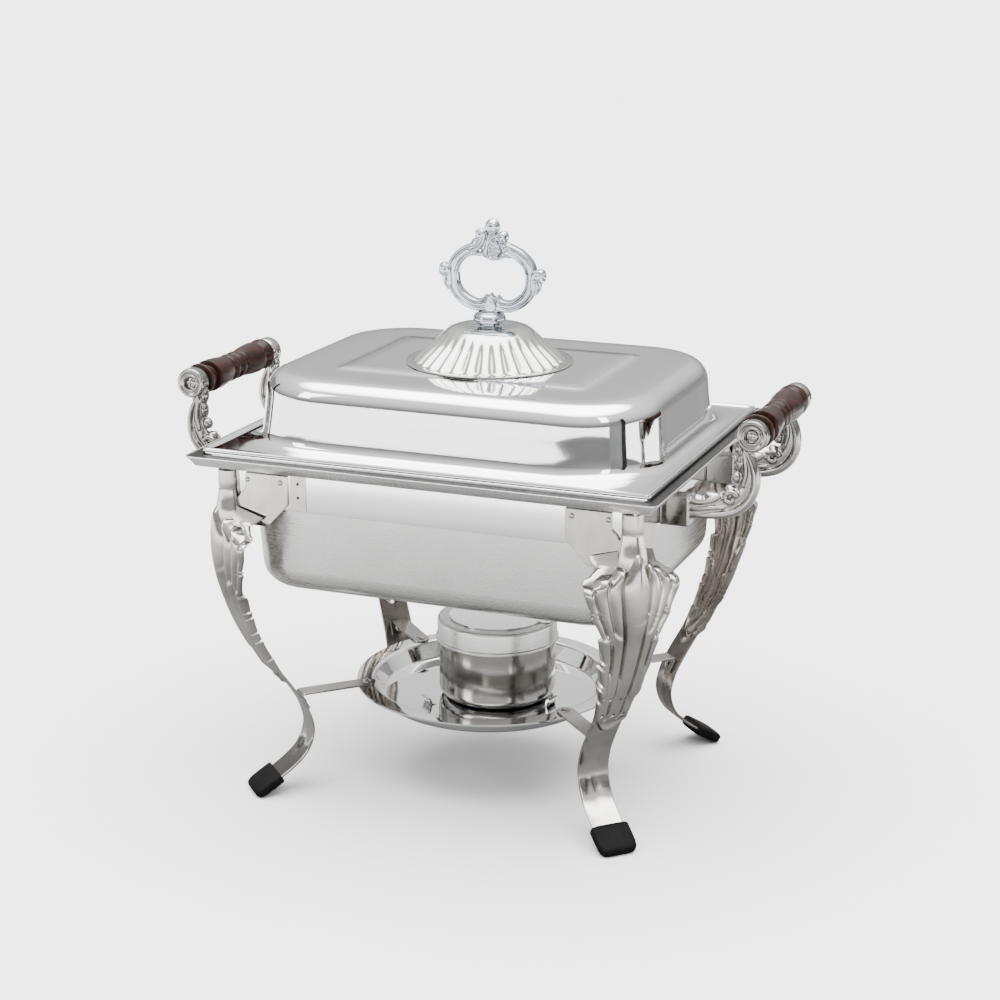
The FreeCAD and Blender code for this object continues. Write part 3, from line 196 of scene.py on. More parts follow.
def finish_piece(name, mesh, body, material, stands_for=(), crease=35):
    """A closed mesh made a piece of the object, riding on its body."""
    cleaned = bmesh.new()
    cleaned.from_mesh(mesh)
    bmesh.ops.remove_doubles(cleaned, verts=cleaned.verts, dist=1e-7)
    bmesh.ops.dissolve_degenerate(cleaned, edges=cleaned.edges, dist=1e-7)
    bmesh.ops.recalc_face_normals(cleaned, faces=cleaned.faces)
    cleaned.to_mesh(mesh)
    cleaned.free()
    mesh.shade_smooth()
    mesh.set_sharp_from_angle(angle=math.radians(crease))
    mesh.materials.clear()
    mesh.materials.append(material)
    piece = bpy.data.objects.new(name, mesh)
    bpy.context.scene.collection.objects.link(piece)
    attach(piece, body)
    if stands_for:
        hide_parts(*stands_for)
    return piece


def raw_mesh(name, points, faces):
    """A mesh from points in millimetres."""
    mesh = bpy.data.meshes.new(name)
    mesh.from_pydata([Vector(p) * MM for p in points], [], faces)
    return mesh


def rounded(path, radii, steps=6):
    """A polyline with its corners turned into arcs: radii go with the inner points."""
    points = [Vector(path[0])]
    for i in range(1, len(path) - 1):
        corner, radius = Vector(path[i]), radii[i - 1] if isinstance(radii, list) else radii
        before = (Vector(path[i - 1]) - corner)
        after = (Vector(path[i + 1]) - corner)
        room = min(before.length, after.length) * 0.49
        half = before.angle(after) / 2
        if radius <= 0 or half < 0.02 or half > math.pi / 2 - 0.01:
            points.append(corner)
            continue
        reach = min(radius / math.tan(half), room)
        radius = reach * math.tan(half)
        before.normalize()
        after.normalize()
        middle = corner + (before + after).normalized() * (radius / math.sin(half))
        start, stop = corner + before * reach - middle, corner + after * reach - middle
        for k in range(steps + 1):
            points.append(middle + start.slerp(stop, k / steps).normalized() * radius)
    points.append(Vector(path[-1]))
    return points


def thickened(path, gauge):
    """A closed section: the path and the same path moved to its left by the gauge."""
    other = []
    for i, point in enumerate(path):
        way = (path[min(i + 1, len(path) - 1)] - path[max(i - 1, 0)]).normalized()
        other.append(point + Vector((-way.y, way.x)) * gauge)
    return list(path) + other[::-1]


def round_ring(radius, z, steps, x):
    """A level ring of points round a circle."""
    return [(x + radius * math.cos(2 * math.pi * k / steps),
             radius * math.sin(2 * math.pi * k / steps), z) for k in range(steps)]


def bridge(rings, closed):
    """Points and faces of a skin over rings: joined end to end, or capped at both ends."""
    count = len(rings[0])
    points = [p for ring in rings for p in ring]
    faces = []
    for i in range(len(rings) if closed else len(rings) - 1):
        a, b = i * count, ((i + 1) % len(rings)) * count
        for k in range(count):
            n = (k + 1) % count
            faces.append((a + k, a + n, b + n, b + k))
    if not closed:
        faces.append(tuple(range(count))[::-1])
        faces.append(tuple(range(len(points) - count, len(points))))
    return points, faces


def turned_mesh(name, section, closed=False, x=0.0, steps=96):
    """A turned piece from (radius, height) pairs."""
    rings = [round_ring(max(r, 0.02), z, steps, x) for r, z in section]
    return raw_mesh(name, *bridge(rings, closed))


def merged(name, meshes):
    """Several meshes put into one."""
    whole = bmesh.new()
    for mesh in meshes:
        whole.from_mesh(mesh)
    result = bpy.data.meshes.new(name)
    whole.to_mesh(result)
    whole.free()
    return result


# ------------------------------------------------------------------ geometry-node makers

def node_group(name, inputs):
    """A geometry-node tree with named inputs, and the nodes at its two ends."""
    tree = bpy.data.node_groups.new(name, "GeometryNodeTree")
    tree.interface.new_socket("Geometry", in_out="INPUT", socket_type="NodeSocketGeometry")
    for label, kind in inputs:
        tree.interface.new_socket(label, in_out="INPUT", socket_type=kind)
    tree.interface.new_socket("Geometry", in_out="OUTPUT", socket_type="NodeSocketGeometry")
    return tree, tree.nodes.new("NodeGroupInput"), tree.nodes.new("NodeGroupOutput")


def ended(tree, shape, end, material):
    """The tree with its shape made real, painted and sent out."""
    real = tree.nodes.new("GeometryNodeRealizeInstances")
    paint = spot(tree, "GeometryNodeSetMaterial", Material=material)
    tree.links.new(shape, real.inputs["Geometry"])
    wire(tree, real, "Geometry", paint, "Geometry")
    wire(tree, paint, "Geometry", end, "Geometry")
    return tree


def run_nodes(name, mesh, tree, values):
    """The plain mesh that a node tree makes of a mesh, with its inputs set by name."""
    carrier = bpy.data.objects.new(name + "_carrier", mesh)
    bpy.context.scene.collection.objects.link(carrier)
    modifier = carrier.modifiers.new("maker", "NODES")
    modifier.node_group = tree
    for socket in tree.interface.items_tree:
        if socket.in_out == "INPUT" and socket.name in values:
            modifier[socket.identifier] = values[socket.name]
    depsgraph = bpy.context.evaluated_depsgraph_get()
    result = bpy.data.meshes.new_from_object(carrier.evaluated_get(depsgraph))
    result.name = name
    bpy.data.objects.remove(carrier)
    return result


def rivet_tree(material):
    """Domed heads on points, each leaning along the point's own outward direction."""
    tree, start, end = node_group("domed_heads", [
        ("Head Radius", "NodeSocketFloat"), ("Head Rise", "NodeSocketFloat")])
    head = spot(tree, "GeometryNodeMeshUVSphere", Segments=24, Rings=12, Radius=1.0)
    size = tree.nodes.new("ShaderNodeCombineXYZ")
    for axis in "XY":
        wire(tree, start, "Head Radius", size, axis)
    wire(tree, start, "Head Rise", size, "Z")
    out = spot(tree, "GeometryNodeInputNamedAttribute", data_type="FLOAT_VECTOR", Name="outward")
    lean = spot(tree, "FunctionNodeAlignRotationToVector", axis="Z")
    wire(tree, out, "Attribute", lean, "Vector")
    place = tree.nodes.new("GeometryNodeInstanceOnPoints")
    wire(tree, start, "Geometry", place, "Points")
    wire(tree, head, "Mesh", place, "Instance")
    wire(tree, lean, "Rotation", place, "Rotation")
    wire(tree, size, "Vector", place, "Scale")
    return ended(tree, place.outputs["Instances"], end, material)


def heads(name, spots, radius, rise, body, stands_for=(), material=SATIN):
    """Rivet heads at (place, outward) pairs, in millimetres."""
    mesh = bpy.data.meshes.new(name + "_spots")
    mesh.from_pydata([Vector(p) * MM for p, _ in spots], [], [])
    layer = mesh.attributes.new("outward", "FLOAT_VECTOR", "POINT")
    layer.data.foreach_set("vector", [c for _, out in spots for c in out])
    values = {"Head Radius": radius * MM, "Head Rise": rise * MM}
    made = run_nodes(name, mesh, rivet_tree(material), values)
    return finish_piece(name, made, body, material, stands_for, crease=60)


# ------------------------------------------------------------------ pressed sheet metal

def sheet_ring(half_x, half_y, corner, z, side=9, steps=9):
    """A level ring round a rounded rectangle, with points along its straight sides too."""
    corner = max(min(corner, half_x - 0.01, half_y - 0.01), 0.05)
    arcs = []
    for side_x, side_y, start in ((1, 1, 0), (-1, 1, 90), (-1, -1, 180), (1, -1, 270)):
        turns = [math.radians(start + 90 * k / steps) for k in range(steps + 1)]
        arcs.append([(side_x * (half_x - corner) + corner * math.cos(turn),
                      side_y * (half_y - corner) + corner * math.sin(turn)) for turn in turns])
    ring = []
    for i, arc in enumerate(arcs):
        after = arcs[(i + 1) % 4][0]
        ring += arc
        ring += [(arc[-1][0] + (after[0] - arc[-1][0]) * k / side,
                  arc[-1][1] + (after[1] - arc[-1][1]) * k / side) for k in range(1, side)]
    return [(x, y, z) for x, y in ring]


def offset_rows(rows, gauge):
    """The rows of the sheet's other face: each moved a gauge to the left of the way they run."""
    other = []
    for i, (x, y, corner, z) in enumerate(rows):
        before, after = rows[max(i - 1, 0)], rows[min(i + 1, len(rows) - 1)]
        way = Vector((after[0] - before[0], after[3] - before[3])).normalized()
        shift_x, shift_z = -way.y * gauge, way.x * gauge
        other.append((x + shift_x, y + shift_x, max(corner + shift_x, 0.1), z + shift_z))
    return other


def pressed(name, rows, gauge, middle_open=False):
    """A pressed shell from its rim row to its middle: half x, half y, corner radius and z."""
    inner = offset_rows(rows, gauge)
    if middle_open:
        rings = [sheet_ring(*row) for row in rows + inner[::-1]]
        return raw_mesh(name, *bridge(rings, True))
    rings = [sheet_ring(*row) for row in inner[::-1] + rows]
    return raw_mesh(name, *bridge(rings, False))


def collar_mesh(name, section, longer, corner, outer):
    """A closed section of (half x, z) corners carried round a rectangle that is longer in x."""
    rings = [sheet_ring(x, x - longer, max(corner - (outer - x), 0.4), z) for x, z in section]
    return raw_mesh(name, *bridge(rings, True))


def soft_section(corners, radius, steps=3):
    """A closed section with every corner rounded."""
    count = len(corners)
    path = [corners[-1]] + list(corners) + [corners[0]]
    loop = []
    for i in range(1, count + 1):
        piece = rounded([path[i - 1], path[i], path[i + 1]], radius, steps)
        loop += piece[1:-1]
    return [(p[0], p[1]) for p in loop]


def make_lid():
    """The dome: a beaded flange, a deep cove, drafted walls, a rolled edge and a raised panel."""
    x, y = 166.0, 133.5
    rows = [(x - 0.3, y - 0.3, 3.7, 265.5), (x, y, 4, 266), (x, y, 4, 268), (x - 0.5, y - 0.5, 3.6, 268.8),
            (x - 1.5, y - 1.5, 3.2, 269.1), (x - 2.7, y - 2.7, 3, 268.8), (x - 3.6, y - 3.8, 3, 268.0),
            (x - 4.8, y - 5.1, 3.4, 267.6), (x - 7.0, y - 9.0, 14, 267.5), (x - 9.2, y - 12.6, 38, 267.5),
            (x - 11, y - 14.8, 52, 267.8), (x - 12.8, y - 16.9, 55, 268.7),
            (x - 14.3, y - 18.5, 56.6, 270.3),
            (x - 15.3, y - 19.6, 57.6, 272.6), (x - 15.8, y - 20.2, 58, 276), (x - 16.2, y - 20.8, 58, 282),
            (x - 17.2, y - 22.2, 58, 292), (x - 17.8, y - 23.3, 58, 301.8)]
    for k in range(1, 11):
        turn = math.radians(9 * k)
        inset, rise = 15 * (1 - math.cos(turn)), 15 * math.sin(turn)
        rows.append((x - 17.8 - inset, y - 23.3 - inset, 58 - inset, 301.8 + rise))
    rows += [(120, 84, 33, 316.82), (100, 67, 12, 316.84), (94.5, 61.5, 6, 316.85),
             (93.4, 60.4, 5.4, 317.1),
             (92.2, 59.2, 5, 317.7), (91, 58, 4.6, 317.98), (80, 50, 10, 318), (55, 46, 30, 318),
             (3, 3, 3, 318)]
    return pressed("lid_dome", rows, 1.2, middle_open=True)


def make_pan(name, top, bottom, flange, corner, floor_radius, gauge=1.2):
    """A deep pan with a flat flange, a curved throat and a wide floor radius."""
    (top_x, top_y, top_z), (low_x, low_y, low_z), (edge_x, edge_y, edge_corner) = top, bottom, flange
    path = rounded([(edge_x, top_z), (top_x, top_z), (low_x, low_z), (0.4, low_z)],
                   [3.5, floor_radius], 9)
    rows = []
    for point in path:
        deep = min(max((top_z - point.y) / (top_z - low_z), 0), 1)
        wall_y = top_y + (low_y - top_y) * deep
        wall_x = top_x + (low_x - top_x) * deep
        inset = wall_x - point.x
        share = min(max((point.x - top_x) / (edge_x - top_x), 0), 1)
        half_y = wall_y - inset if inset >= 0 else wall_y + (edge_y - top_y) * share
        round_corner = (corner - inset * 0.8 if inset >= 0
                        else corner + (edge_corner - corner) * share)
        rows.append((point.x, max(half_y, 0.4), max(round_corner, 0.4), point.y))
    return pressed(name, rows, -gauge)


def make_rim():
    """The rim: a level ledge with a low lip, and a band that slopes in underneath."""
    section = soft_section([(175, 265), (173.6, 265), (173.2, 264), (149.5, 264), (149.5, 262.5),
                            (171.8, 262.5), (166.6, 257), (168, 257)], 0.35)
    return collar_mesh("rim_ledge", section, LEG_SHIFT, 7.0, 175.0)


def make_apron():
    """The polished collar under the rim, with a softly broken lower edge."""
    section = soft_section([(151, 262.4), (149.5, 262.4), (149.5, 226), (151, 226)], 0.45)
    return collar_mesh("apron_collar", section, LEG_SHIFT, 3.0, 151.0)


def turned_sheet(name, path, radii, gauge, x=0.0):
    """A spun piece: a sheet of a gauge along a rounded path from its edge to its middle."""
    line = rounded(path, radii, 6)
    loop = thickened(line, gauge)
    half = len(line)
    order = loop[:half][::-1] + loop[half:][::-1]
    return turned_mesh(name, [(p.x, p.y) for p in order], False, x, steps=128)



# ------------------------------------------------------------------ stamped legs

LEG_REACH = POST_Y * math.sqrt(2)
CORNERS = {"front_left": (-1, -1), "front_right": (1, -1), "rear_left": (-1, 1), "rear_right": (1, 1)}
STATIONS = [(3.4, 229, 48, 1.0), (8, 218, 46, 0.75), (9.5, 204, 69, 0.42), (9, 188, 64, 0.38),
            (5, 168, 47, 0.36), (-4, 142, 38, 0.34), (-16, 118, 30, 0.22), (-29, 96, 24, 0.08),
            (-43, 76, 24, 0), (-50.5, 62, 24, 0), (-53.5, 46, 24, 0), (-46, 29, 24, 0),
            (-26, 13.5, 24, 0), (-12, 5, 24, 0)]


def spline(points, count):
    """Evenly spread rows along a smooth curve through the given rows."""
    rows = np.array(points, float)
    padded = np.vstack([2 * rows[0] - rows[1], rows, 2 * rows[-1] - rows[-2]])
    fine = []
    for i in range(1, len(padded) - 2):
        a, b, c, d = padded[i - 1:i + 3]
        for t in np.linspace(0, 1, 24, endpoint=False):
            fine.append(0.5 * (2 * b + (c - a) * t + (2 * a - 5 * b + 4 * c - d) * t * t
                               + (3 * b - a - 3 * c + d) * t ** 3))
    fine = np.array(fine + [rows[-1]])
    steps = np.linalg.norm(np.diff(fine[:, :2], axis=0), axis=1)
    place = np.concatenate([[0], np.cumsum(steps)])
    wanted = np.linspace(0, place[-1], count)
    return np.stack([np.interp(wanted, place, fine[:, k]) for k in range(fine.shape[1])], 1)


def step_up(value, low, high):
    """A smooth step from 0 to 1 between two heights."""
    t = np.clip((value - low) / (high - low), 0, 1)
    return t * t * (3 - 2 * t)


def lobe(across, height, middle, half, top, low, lean=0.0, knob=5.0):
    """One convex flute of a leaf: its round knob at the top, fading out at its foot."""
    q = (across - middle - lean * (height - low)) / half
    body = np.clip(1 - q * q, 0, 1) ** 0.55
    cap = np.sqrt(np.clip(1 - (np.clip(height - (top - knob), 0, None) / knob) ** 2, 0, 1))
    return body * cap * step_up(height, low, low + 16)


def leaf_relief(across, height):
    """How far the leaf stands out of the strip: three tiers of flutes and a raised tip."""
    relief = np.zeros_like(across)
    upper = [(-0.93, 0.14, 206), (-0.69, 0.135, 213), (-0.44, 0.135, 218), (0.44, 0.135, 220),
             (0.69, 0.135, 215), (0.93, 0.14, 207)]
    for middle, half, top in upper:
        swell = 1.0 + 0.45 * np.exp(-((height - top + 6) / 6.0) ** 2)
        relief = np.maximum(relief, 4.4 * swell * lobe(across, height, middle, half, top, 150))
    relief = np.maximum(relief, 5.4 * lobe(across, height, 0.0, 0.30, 228, 158, knob=9))
    second = [(-0.82, 0.17, 170), (-0.48, 0.18, 172), (0.02, 0.32, 184), (0.50, 0.19, 174),
              (0.84, 0.17, 168)]
    for middle, half, top in second:
        relief = np.maximum(relief, 5.6 * lobe(across, height, middle, half, top, 106, knob=6))
    third = [(-0.70, 0.30, 140), (0.0, 0.40, 138), (0.68, 0.32, 144)]
    for middle, half, top in third:
        relief = np.maximum(relief, 4.6 * lobe(across, height, middle, half, top, 90, knob=8))
    arch = height - (87 + 15 * np.abs(across) ** 2.0)
    relief += 2.0 * np.exp(-(arch / 1.8) ** 2) * step_up(1.0 - np.abs(across), 0.0, 0.15)
    relief -= 0.7 * np.exp(-((across * 12) / 5.0) ** 2) * step_up(-height, -84, -56) * step_up(height, 18,
                                                                                               40)
    return relief


def leaf_edge(height, side):
    """How much wider or narrower the leaf's edge is than the plain strip, with its notches."""
    edge = np.zeros_like(height)
    for top, reach, deep in ((211, 28, 2.4), (183 - 3 * side, 20, 2.8), (163 - 2 * side, 18, 2.8),
                             (145 + 3 * side, 18, 2.6), (126 - 2 * side, 16, 2.2)):
        share = (top - height) / reach
        edge += np.where((share > 0) & (share < 1), deep * (1 - share) - 0.5 * deep, 0)
        edge += np.where((share <= 0) & (share > -0.12), -0.5 * deep * (1 + share / 0.12), 0) * 0.4
    return edge


def blade_mesh(name, rows=250, columns=72, gauge=2.0):
    """The stamped strip of a leg with its leaf, in the leg's own plane."""
    line = spline(STATIONS, rows)
    rho, z, width, fold = (line[:, k][:, None] for k in range(4))
    way = np.gradient(line[:, :2], axis=0)
    way /= np.linalg.norm(way, axis=1)[:, None]
    out_x, out_z = -way[:, 1][:, None], way[:, 0][:, None]
    share = np.linspace(-1, 1, columns)[None, :] * np.ones_like(rho)
    height = z * np.ones_like(share)
    half = width / 2 + np.where(share < 0, leaf_edge(height, -1), leaf_edge(height, 1)) * np.abs(share) ** 3
    bend = -fold * half * (np.sqrt(share ** 2 + 0.02) - 0.14)
    relief = leaf_relief(share, height)
    skins = []
    for depth, stamped in ((0.0, 1.0), (gauge, 0.85)):
        edge_round = -0.5 * np.abs(share) ** 40 if depth == 0 else 0.5 * np.abs(share) ** 40
        push = bend + relief * stamped - depth + edge_round
        skins.append(np.stack([LEG_REACH + rho + out_x * push, share * half, z + out_z * push], -1))
    points = [tuple(p) for skin in skins for p in skin.reshape(-1, 3)]
    faces, front = [], rows * columns
    for i in range(rows - 1):
        for k in range(columns - 1):
            a = i * columns + k
            faces.append((a, a + 1, a + columns + 1, a + columns))
            faces.append((front + a, front + a + columns, front + a + columns + 1, front + a + 1))
    for i in range(rows - 1):
        for k in (0, columns - 1):
            a = i * columns + k
            faces.append((a, a + columns, front + a + columns, front + a))
    for k in range(columns - 1):
        for i in (0, rows - 1):
            a = i * columns + k
            faces.append((a, a + 1, front + a + 1, front + a))
    return raw_mesh(name, points, faces)


def plate_mesh(name, outline, thick):
    """A flat plate in the XZ plane, from y = 0 to minus its thickness, with broken edges."""
    inner = []
    count = len(outline)
    for i, point in enumerate(outline):
        before, after = Vector(outline[i - 1]), Vector(outline[(i + 1) % count])
        way = (after - before).normalized()
        inner.append((point[0] - way.y * 0.35, point[1] + way.x * 0.35))
    rings = [[(p[0], y, p[1]) for p in loop] for loop, y in
             ((inner, 0.0), (outline, -0.35), (outline, -thick + 0.35), (inner, -thick))]
    return raw_mesh(name, *bridge(rings, False))


def wing_outline():
    """A wing: its slanted lower edge, and the slot beside the column with its hooked foot."""
    corners = [(47, 251.5), (14.2, 251.5), (14.2, 239.5), (10.5, 236.5), (8.5, 233), (0.5, 231), (0.5, 213),
               (31, 213), (47, 230)]
    path = rounded([(30, 251.5)] + corners[1:] + [corners[0], (30, 251.5)],
                   [0.4, 3.5, 2, 2.5, 0.4, 0.4, 2, 3, 0.4], 4)
    return [(p.x, p.y) for p in path[:-1]]


def leg_mesh():
    """A whole leg in its own plane: blade, two wings folded back, and the corner column."""
    blade = blade_mesh("blade")
    wings = []
    for side in (1, -1):
        wing = plate_mesh("wing", wing_outline(), 2.0)
        turn = Matrix.Rotation(math.radians(135), 4, "Z")
        flip = Matrix.Scale(side, 4, (0, 1, 0))
        wing.transform(Matrix.Translation((LEG_REACH * MM, 0, 0)) @ flip @ turn)
        if side < 0:
            wing.flip_normals()
        wings.append(wing)
    profile = [(7.4, 252.2), (7.5, 244), (7.35, 239.6), (7.1, 239.1), (7.1, 238.5), (7.5, 238), (7.8, 235),
               (8.6, 230), (9.8, 225), (10.6, 219), (10.2, 214)]
    outer = [[(LEG_REACH + r * math.cos(math.radians(a)), r * math.sin(math.radians(a)), z)
              for a in range(-118, 119, 8)] for r, z in profile]
    inner = [[(LEG_REACH + (r - 2) * math.cos(math.radians(a)), (r - 2) * math.sin(math.radians(a)), z)
              for a in range(118, -119, -8)] for r, z in profile]
    column = raw_mesh("column", *bridge([a + b for a, b in zip(outer, inner)], False))
    return merged("leg", [blade] + wings + [column])


def corner_matrix(corner):
    """Where a shape drawn in a leg's own plane stands under its corner of the frame."""
    side_x, side_y = CORNERS[corner]
    return (Matrix.Translation((side_x * LEG_SHIFT * MM, 0, 0))
            @ Matrix.Rotation(math.atan2(side_y, side_x), 4, "Z"))


def boot_mesh():
    """The rubber boot in the leg's own plane: a soft block, rounded at the toe, flat underneath."""
    slope = math.atan2(8.5, 14)
    tip = Vector((LEG_REACH - 12 + 1, 5 - 1.6))
    rows = [(-21.0, 0.90, 0.82), (-20.6, 0.97, 0.93), (-19.6, 1.0, 1.0), (-12, 1.0, 1.0), (-5, 0.99, 0.99),
            (-1.5, 0.94, 0.93), (0.6, 0.86, 0.80), (1.6, 0.74, 0.58), (2.0, 0.6, 0.35)]
    rings = []
    for along, wide, thick in rows:
        ring = []
        for k in range(48):
            turn = 2 * math.pi * k / 48
            cosine, sine = math.cos(turn), math.sin(turn)
            y = 14.5 * wide * math.copysign(abs(cosine) ** 0.42, cosine)
            up = 4.5 * thick * math.copysign(abs(sine) ** 0.5, sine)
            x = tip.x + along * math.cos(slope) + up * math.sin(slope)
            z = tip.y - along * math.sin(slope) + up * math.cos(slope)
            ring.append((x, y, max(z, 0.0)))
        rings.append(ring)
    return raw_mesh("boot", *bridge(rings, False))


# ------------------------------------------------------------------ castings

def sweep(points, count=40, steps=14):
    """A tube in the XZ plane: rows of x, z, half width in the plane and half width across it."""
    line = spline(points, count)
    way = np.gradient(line[:, :2], axis=0)
    way /= np.linalg.norm(way, axis=1)[:, None]
    rings = []
    for (x, z, wide, deep), (along_x, along_z) in zip(line, way):
        ring = []
        for k in range(steps):
            turn = 2 * math.pi * k / steps
            a, b = wide * math.cos(turn), deep * math.sin(turn)
            ring.append((x - along_z * a, b, z + along_x * a))
        rings.append(ring)
    return raw_mesh("sweep", *bridge(rings, False))


def raised(points, away, radius, count=40):
    """A round ridge on both faces of a casting, at a distance either side of its middle plane."""
    ridges = []
    for side in (-1, 1):
        ridge = sweep([(x, z, radius * size, radius * size) for x, z, size in points], count, 10)
        ridge.transform(Matrix.Translation((0, side * away * MM, 0)))
        ridges.append(ridge)
    return ridges


def lump(x, z, half_x, half_z, half_y, lean=0.0, y=0.0):
    """An egg-shaped lobe, leaning in the XZ plane."""
    mesh = bpy.data.meshes.new("lump")
    maker = bmesh.new()
    bmesh.ops.create_uvsphere(maker, u_segments=20, v_segments=12, radius=MM)
    maker.to_mesh(mesh)
    maker.free()
    mesh.transform(Matrix.Translation((x * MM, y * MM, z * MM))
                   @ Matrix.Rotation(math.radians(lean), 4, "Y")
                   @ Matrix.Diagonal((half_x, half_y, half_z, 1)))
    return mesh


def block_mesh(low, high, edge):
    """A block with rounded edges between two corners."""
    mesh = bpy.data.meshes.new("block")
    maker = bmesh.new()
    bmesh.ops.create_cube(maker, size=1.0)
    for vert in maker.verts:
        vert.co = Vector([(low[k] if vert.co[k] < 0 else high[k]) * MM for k in range(3)])
    bmesh.ops.bevel(maker, geom=maker.edges[:], offset=edge * MM, segments=3, affect="EDGES", profile=0.5)
    maker.to_mesh(mesh)
    maker.free()
    return mesh


def cast(name, shells, voxel, smooth=3, strength=0.5):
    """Many shells fused into one casting and softened a little."""
    blank = bpy.data.objects.new(name + "_blank", merged(name + "_rough", shells))
    bpy.context.scene.collection.objects.link(blank)
    fuse = blank.modifiers.new("fuse", "REMESH")
    fuse.mode = "VOXEL"
    fuse.voxel_size = voxel * MM
    soften = blank.modifiers.new("soften", "SMOOTH")
    soften.iterations = smooth
    soften.factor = strength
    depsgraph = bpy.context.evaluated_depsgraph_get()
    mesh = bpy.data.meshes.new_from_object(blank.evaluated_get(depsgraph))
    mesh.name = name
    bpy.data.objects.remove(blank)
    return mesh


def spiral(x, z, start, stop, wide, narrow, thick):
    """Places along a curl that winds from a wide radius in to a narrow one."""
    places = []
    for k in range(13):
        share = k / 12
        turn = math.radians(start + (stop - start) * share)
        radius = wide + (narrow - wide) * share
        places.append((x + radius * math.cos(turn), z + radius * math.sin(turn),
                       thick * (1 - 0.35 * share)))
    return places


def ring_mesh():
    """The scrolled ring: double-ridged bars, two leaf knuckles, a shell crest and a heart foot."""
    shells = []
    left = [[(-10, 400.5), (-19, 396.5), (-25.8, 389.8), (-28.4, 381.5)],
            [(-28.4, 382.5), (-26.8, 371.8), (-21.2, 364.2), (-12.4, 359.4), (-4.2, 359.6), (0.6, 364)]]
    bars = left + [[(4.6 - x, z) for x, z in bar] for bar in left]
    for bar in bars:
        shells.append(sweep([(x, z, 3.3, 2.4) for x, z in bar], 36, 14))
        line = spline(bar, 24)
        for offset in (-3.1, 3.1):
            way = np.gradient(line, axis=0)
            way /= np.linalg.norm(way, axis=1)[:, None]
            edge = line + np.stack([-way[:, 1], way[:, 0]], 1) * offset
            shells.append(sweep([(x, z, 1.4, 4.0) for x, z in edge], 48, 12))
    for side, x, z in ((-1, -34.4, 382.5), (1, 38.6, 382.0)):
        shells += [lump(x, z, 5.2, 5.0, 4.2, side * 20),
                   lump(x - side * 2.5, z - 8.5, 3.2, 6.0, 3.6, side * 28),
                   lump(x + side * 1.0, z + 2.5, 3.6, 3.4, 4.5)]
        shells += raised(spiral(x + side * 0.6, z + 0.8, 90 + side * 150, 90 - side * 210, 4.6, 1.2, 1.0),
                         3.3, 1.15)
        shells += raised([(x - side * 1, z - 3, 1), (x - side * 0.5, z - 8, 1),
                          (x - side * 3.5, z - 13.5, 0.6)],
                         3.2, 1.1)
        shells += raised([(x - side * 4, z + 2, 1), (x - side * 4.6, z - 4, 1),
                          (x - side * 5.6, z - 10, 0.6)],
                         2.9, 1.1)
    shells += [lump(1.5, 403, 9.0, 9.5, 3.2), lump(1.6, 397.0, 8.5, 4.6, 3.8),
               lump(2.4, 415.5, 5.8, 6.6, 4.4, 8),
               lump(-6.4, 409.5, 4.6, 5.0, 4.0, -25), lump(-9.6, 403.0, 4.4, 4.6, 3.6, -40),
               lump(-12.2, 397.6, 4.4, 3.4, 3.6, -30), lump(10.4, 408.6, 4.4, 5.2, 4.2, 30),
               lump(13.6, 401.6, 3.6, 4.2, 3.8, 40), lump(14.2, 396.8, 4.2, 2.8, 3.4, 30)]
    shells += raised(spiral(3.0, 415.2, 200, -130, 4.6, 1.4, 1.0), 3.2, 1.2)
    shells += raised(spiral(10.2, 408.4, 210, -90, 3.9, 1.2, 1.0), 3.2, 1.1)
    shells += raised(spiral(-6.8, 409.6, -20, 280, 3.8, 1.2, 1.0), 3.0, 1.1)
    shells += raised([(-13, 398, 0.8), (-7.5, 400.5, 1), (-4, 405, 1), (-2.5, 411, 0.8)], 3.2, 1.2)
    shells += raised([(-9, 395.6, 0.8), (-4, 396.5, 1), (-1.2, 401, 1), (0.6, 409, 0.8)], 3.4, 1.2)
    shells += raised([(-12.5, 402, 0.7), (-8.5, 403.5, 1), (-6, 407, 0.8)], 3.2, 1.0)
    shells += raised([(13.4, 395.6, 0.8), (8, 393.6, 1), (2, 393.4, 1), (-1.2, 397, 1), (-0.2, 403.5, 1),
                      (4.2, 409, 1), (8.2, 407.6, 0.9), (11.6, 401.5, 0.8), (13, 397, 0.7)], 3.3, 1.15)
    shells.append(lump(5.6, 400.2, 5.6, 7.0, 4.1, 18))
    for k in range(17):
        turn, reach = k * 2.39996, 1.15 * math.sqrt(k)
        for side in (-1, 1):
            shells.append(lump(5.6 + 0.95 * reach * math.cos(turn), 400.2 + 1.25 * reach * math.sin(turn),
                               1.0, 1.0, 0.9, y=side * 3.9))
    shells.append(sweep([(1.7, 354.7, 8.5, 4.4), (1.7, 358, 5.2, 4.2), (1.7, 363, 3.6, 3.8),
                         (1.7, 368.2, 0.8, 2.4)], 24, 16))
    for x in (-1.5, 1.7, 4.9):
        shells += raised([(x * 0.9, 355.8, 1), (x, 360, 1), (1.7 + (x - 1.7) * 0.4, 365.5, 0.7)], 3.2, 1.15,
                         16)
    return cast("scroll_ring", shells, 0.42, 2)


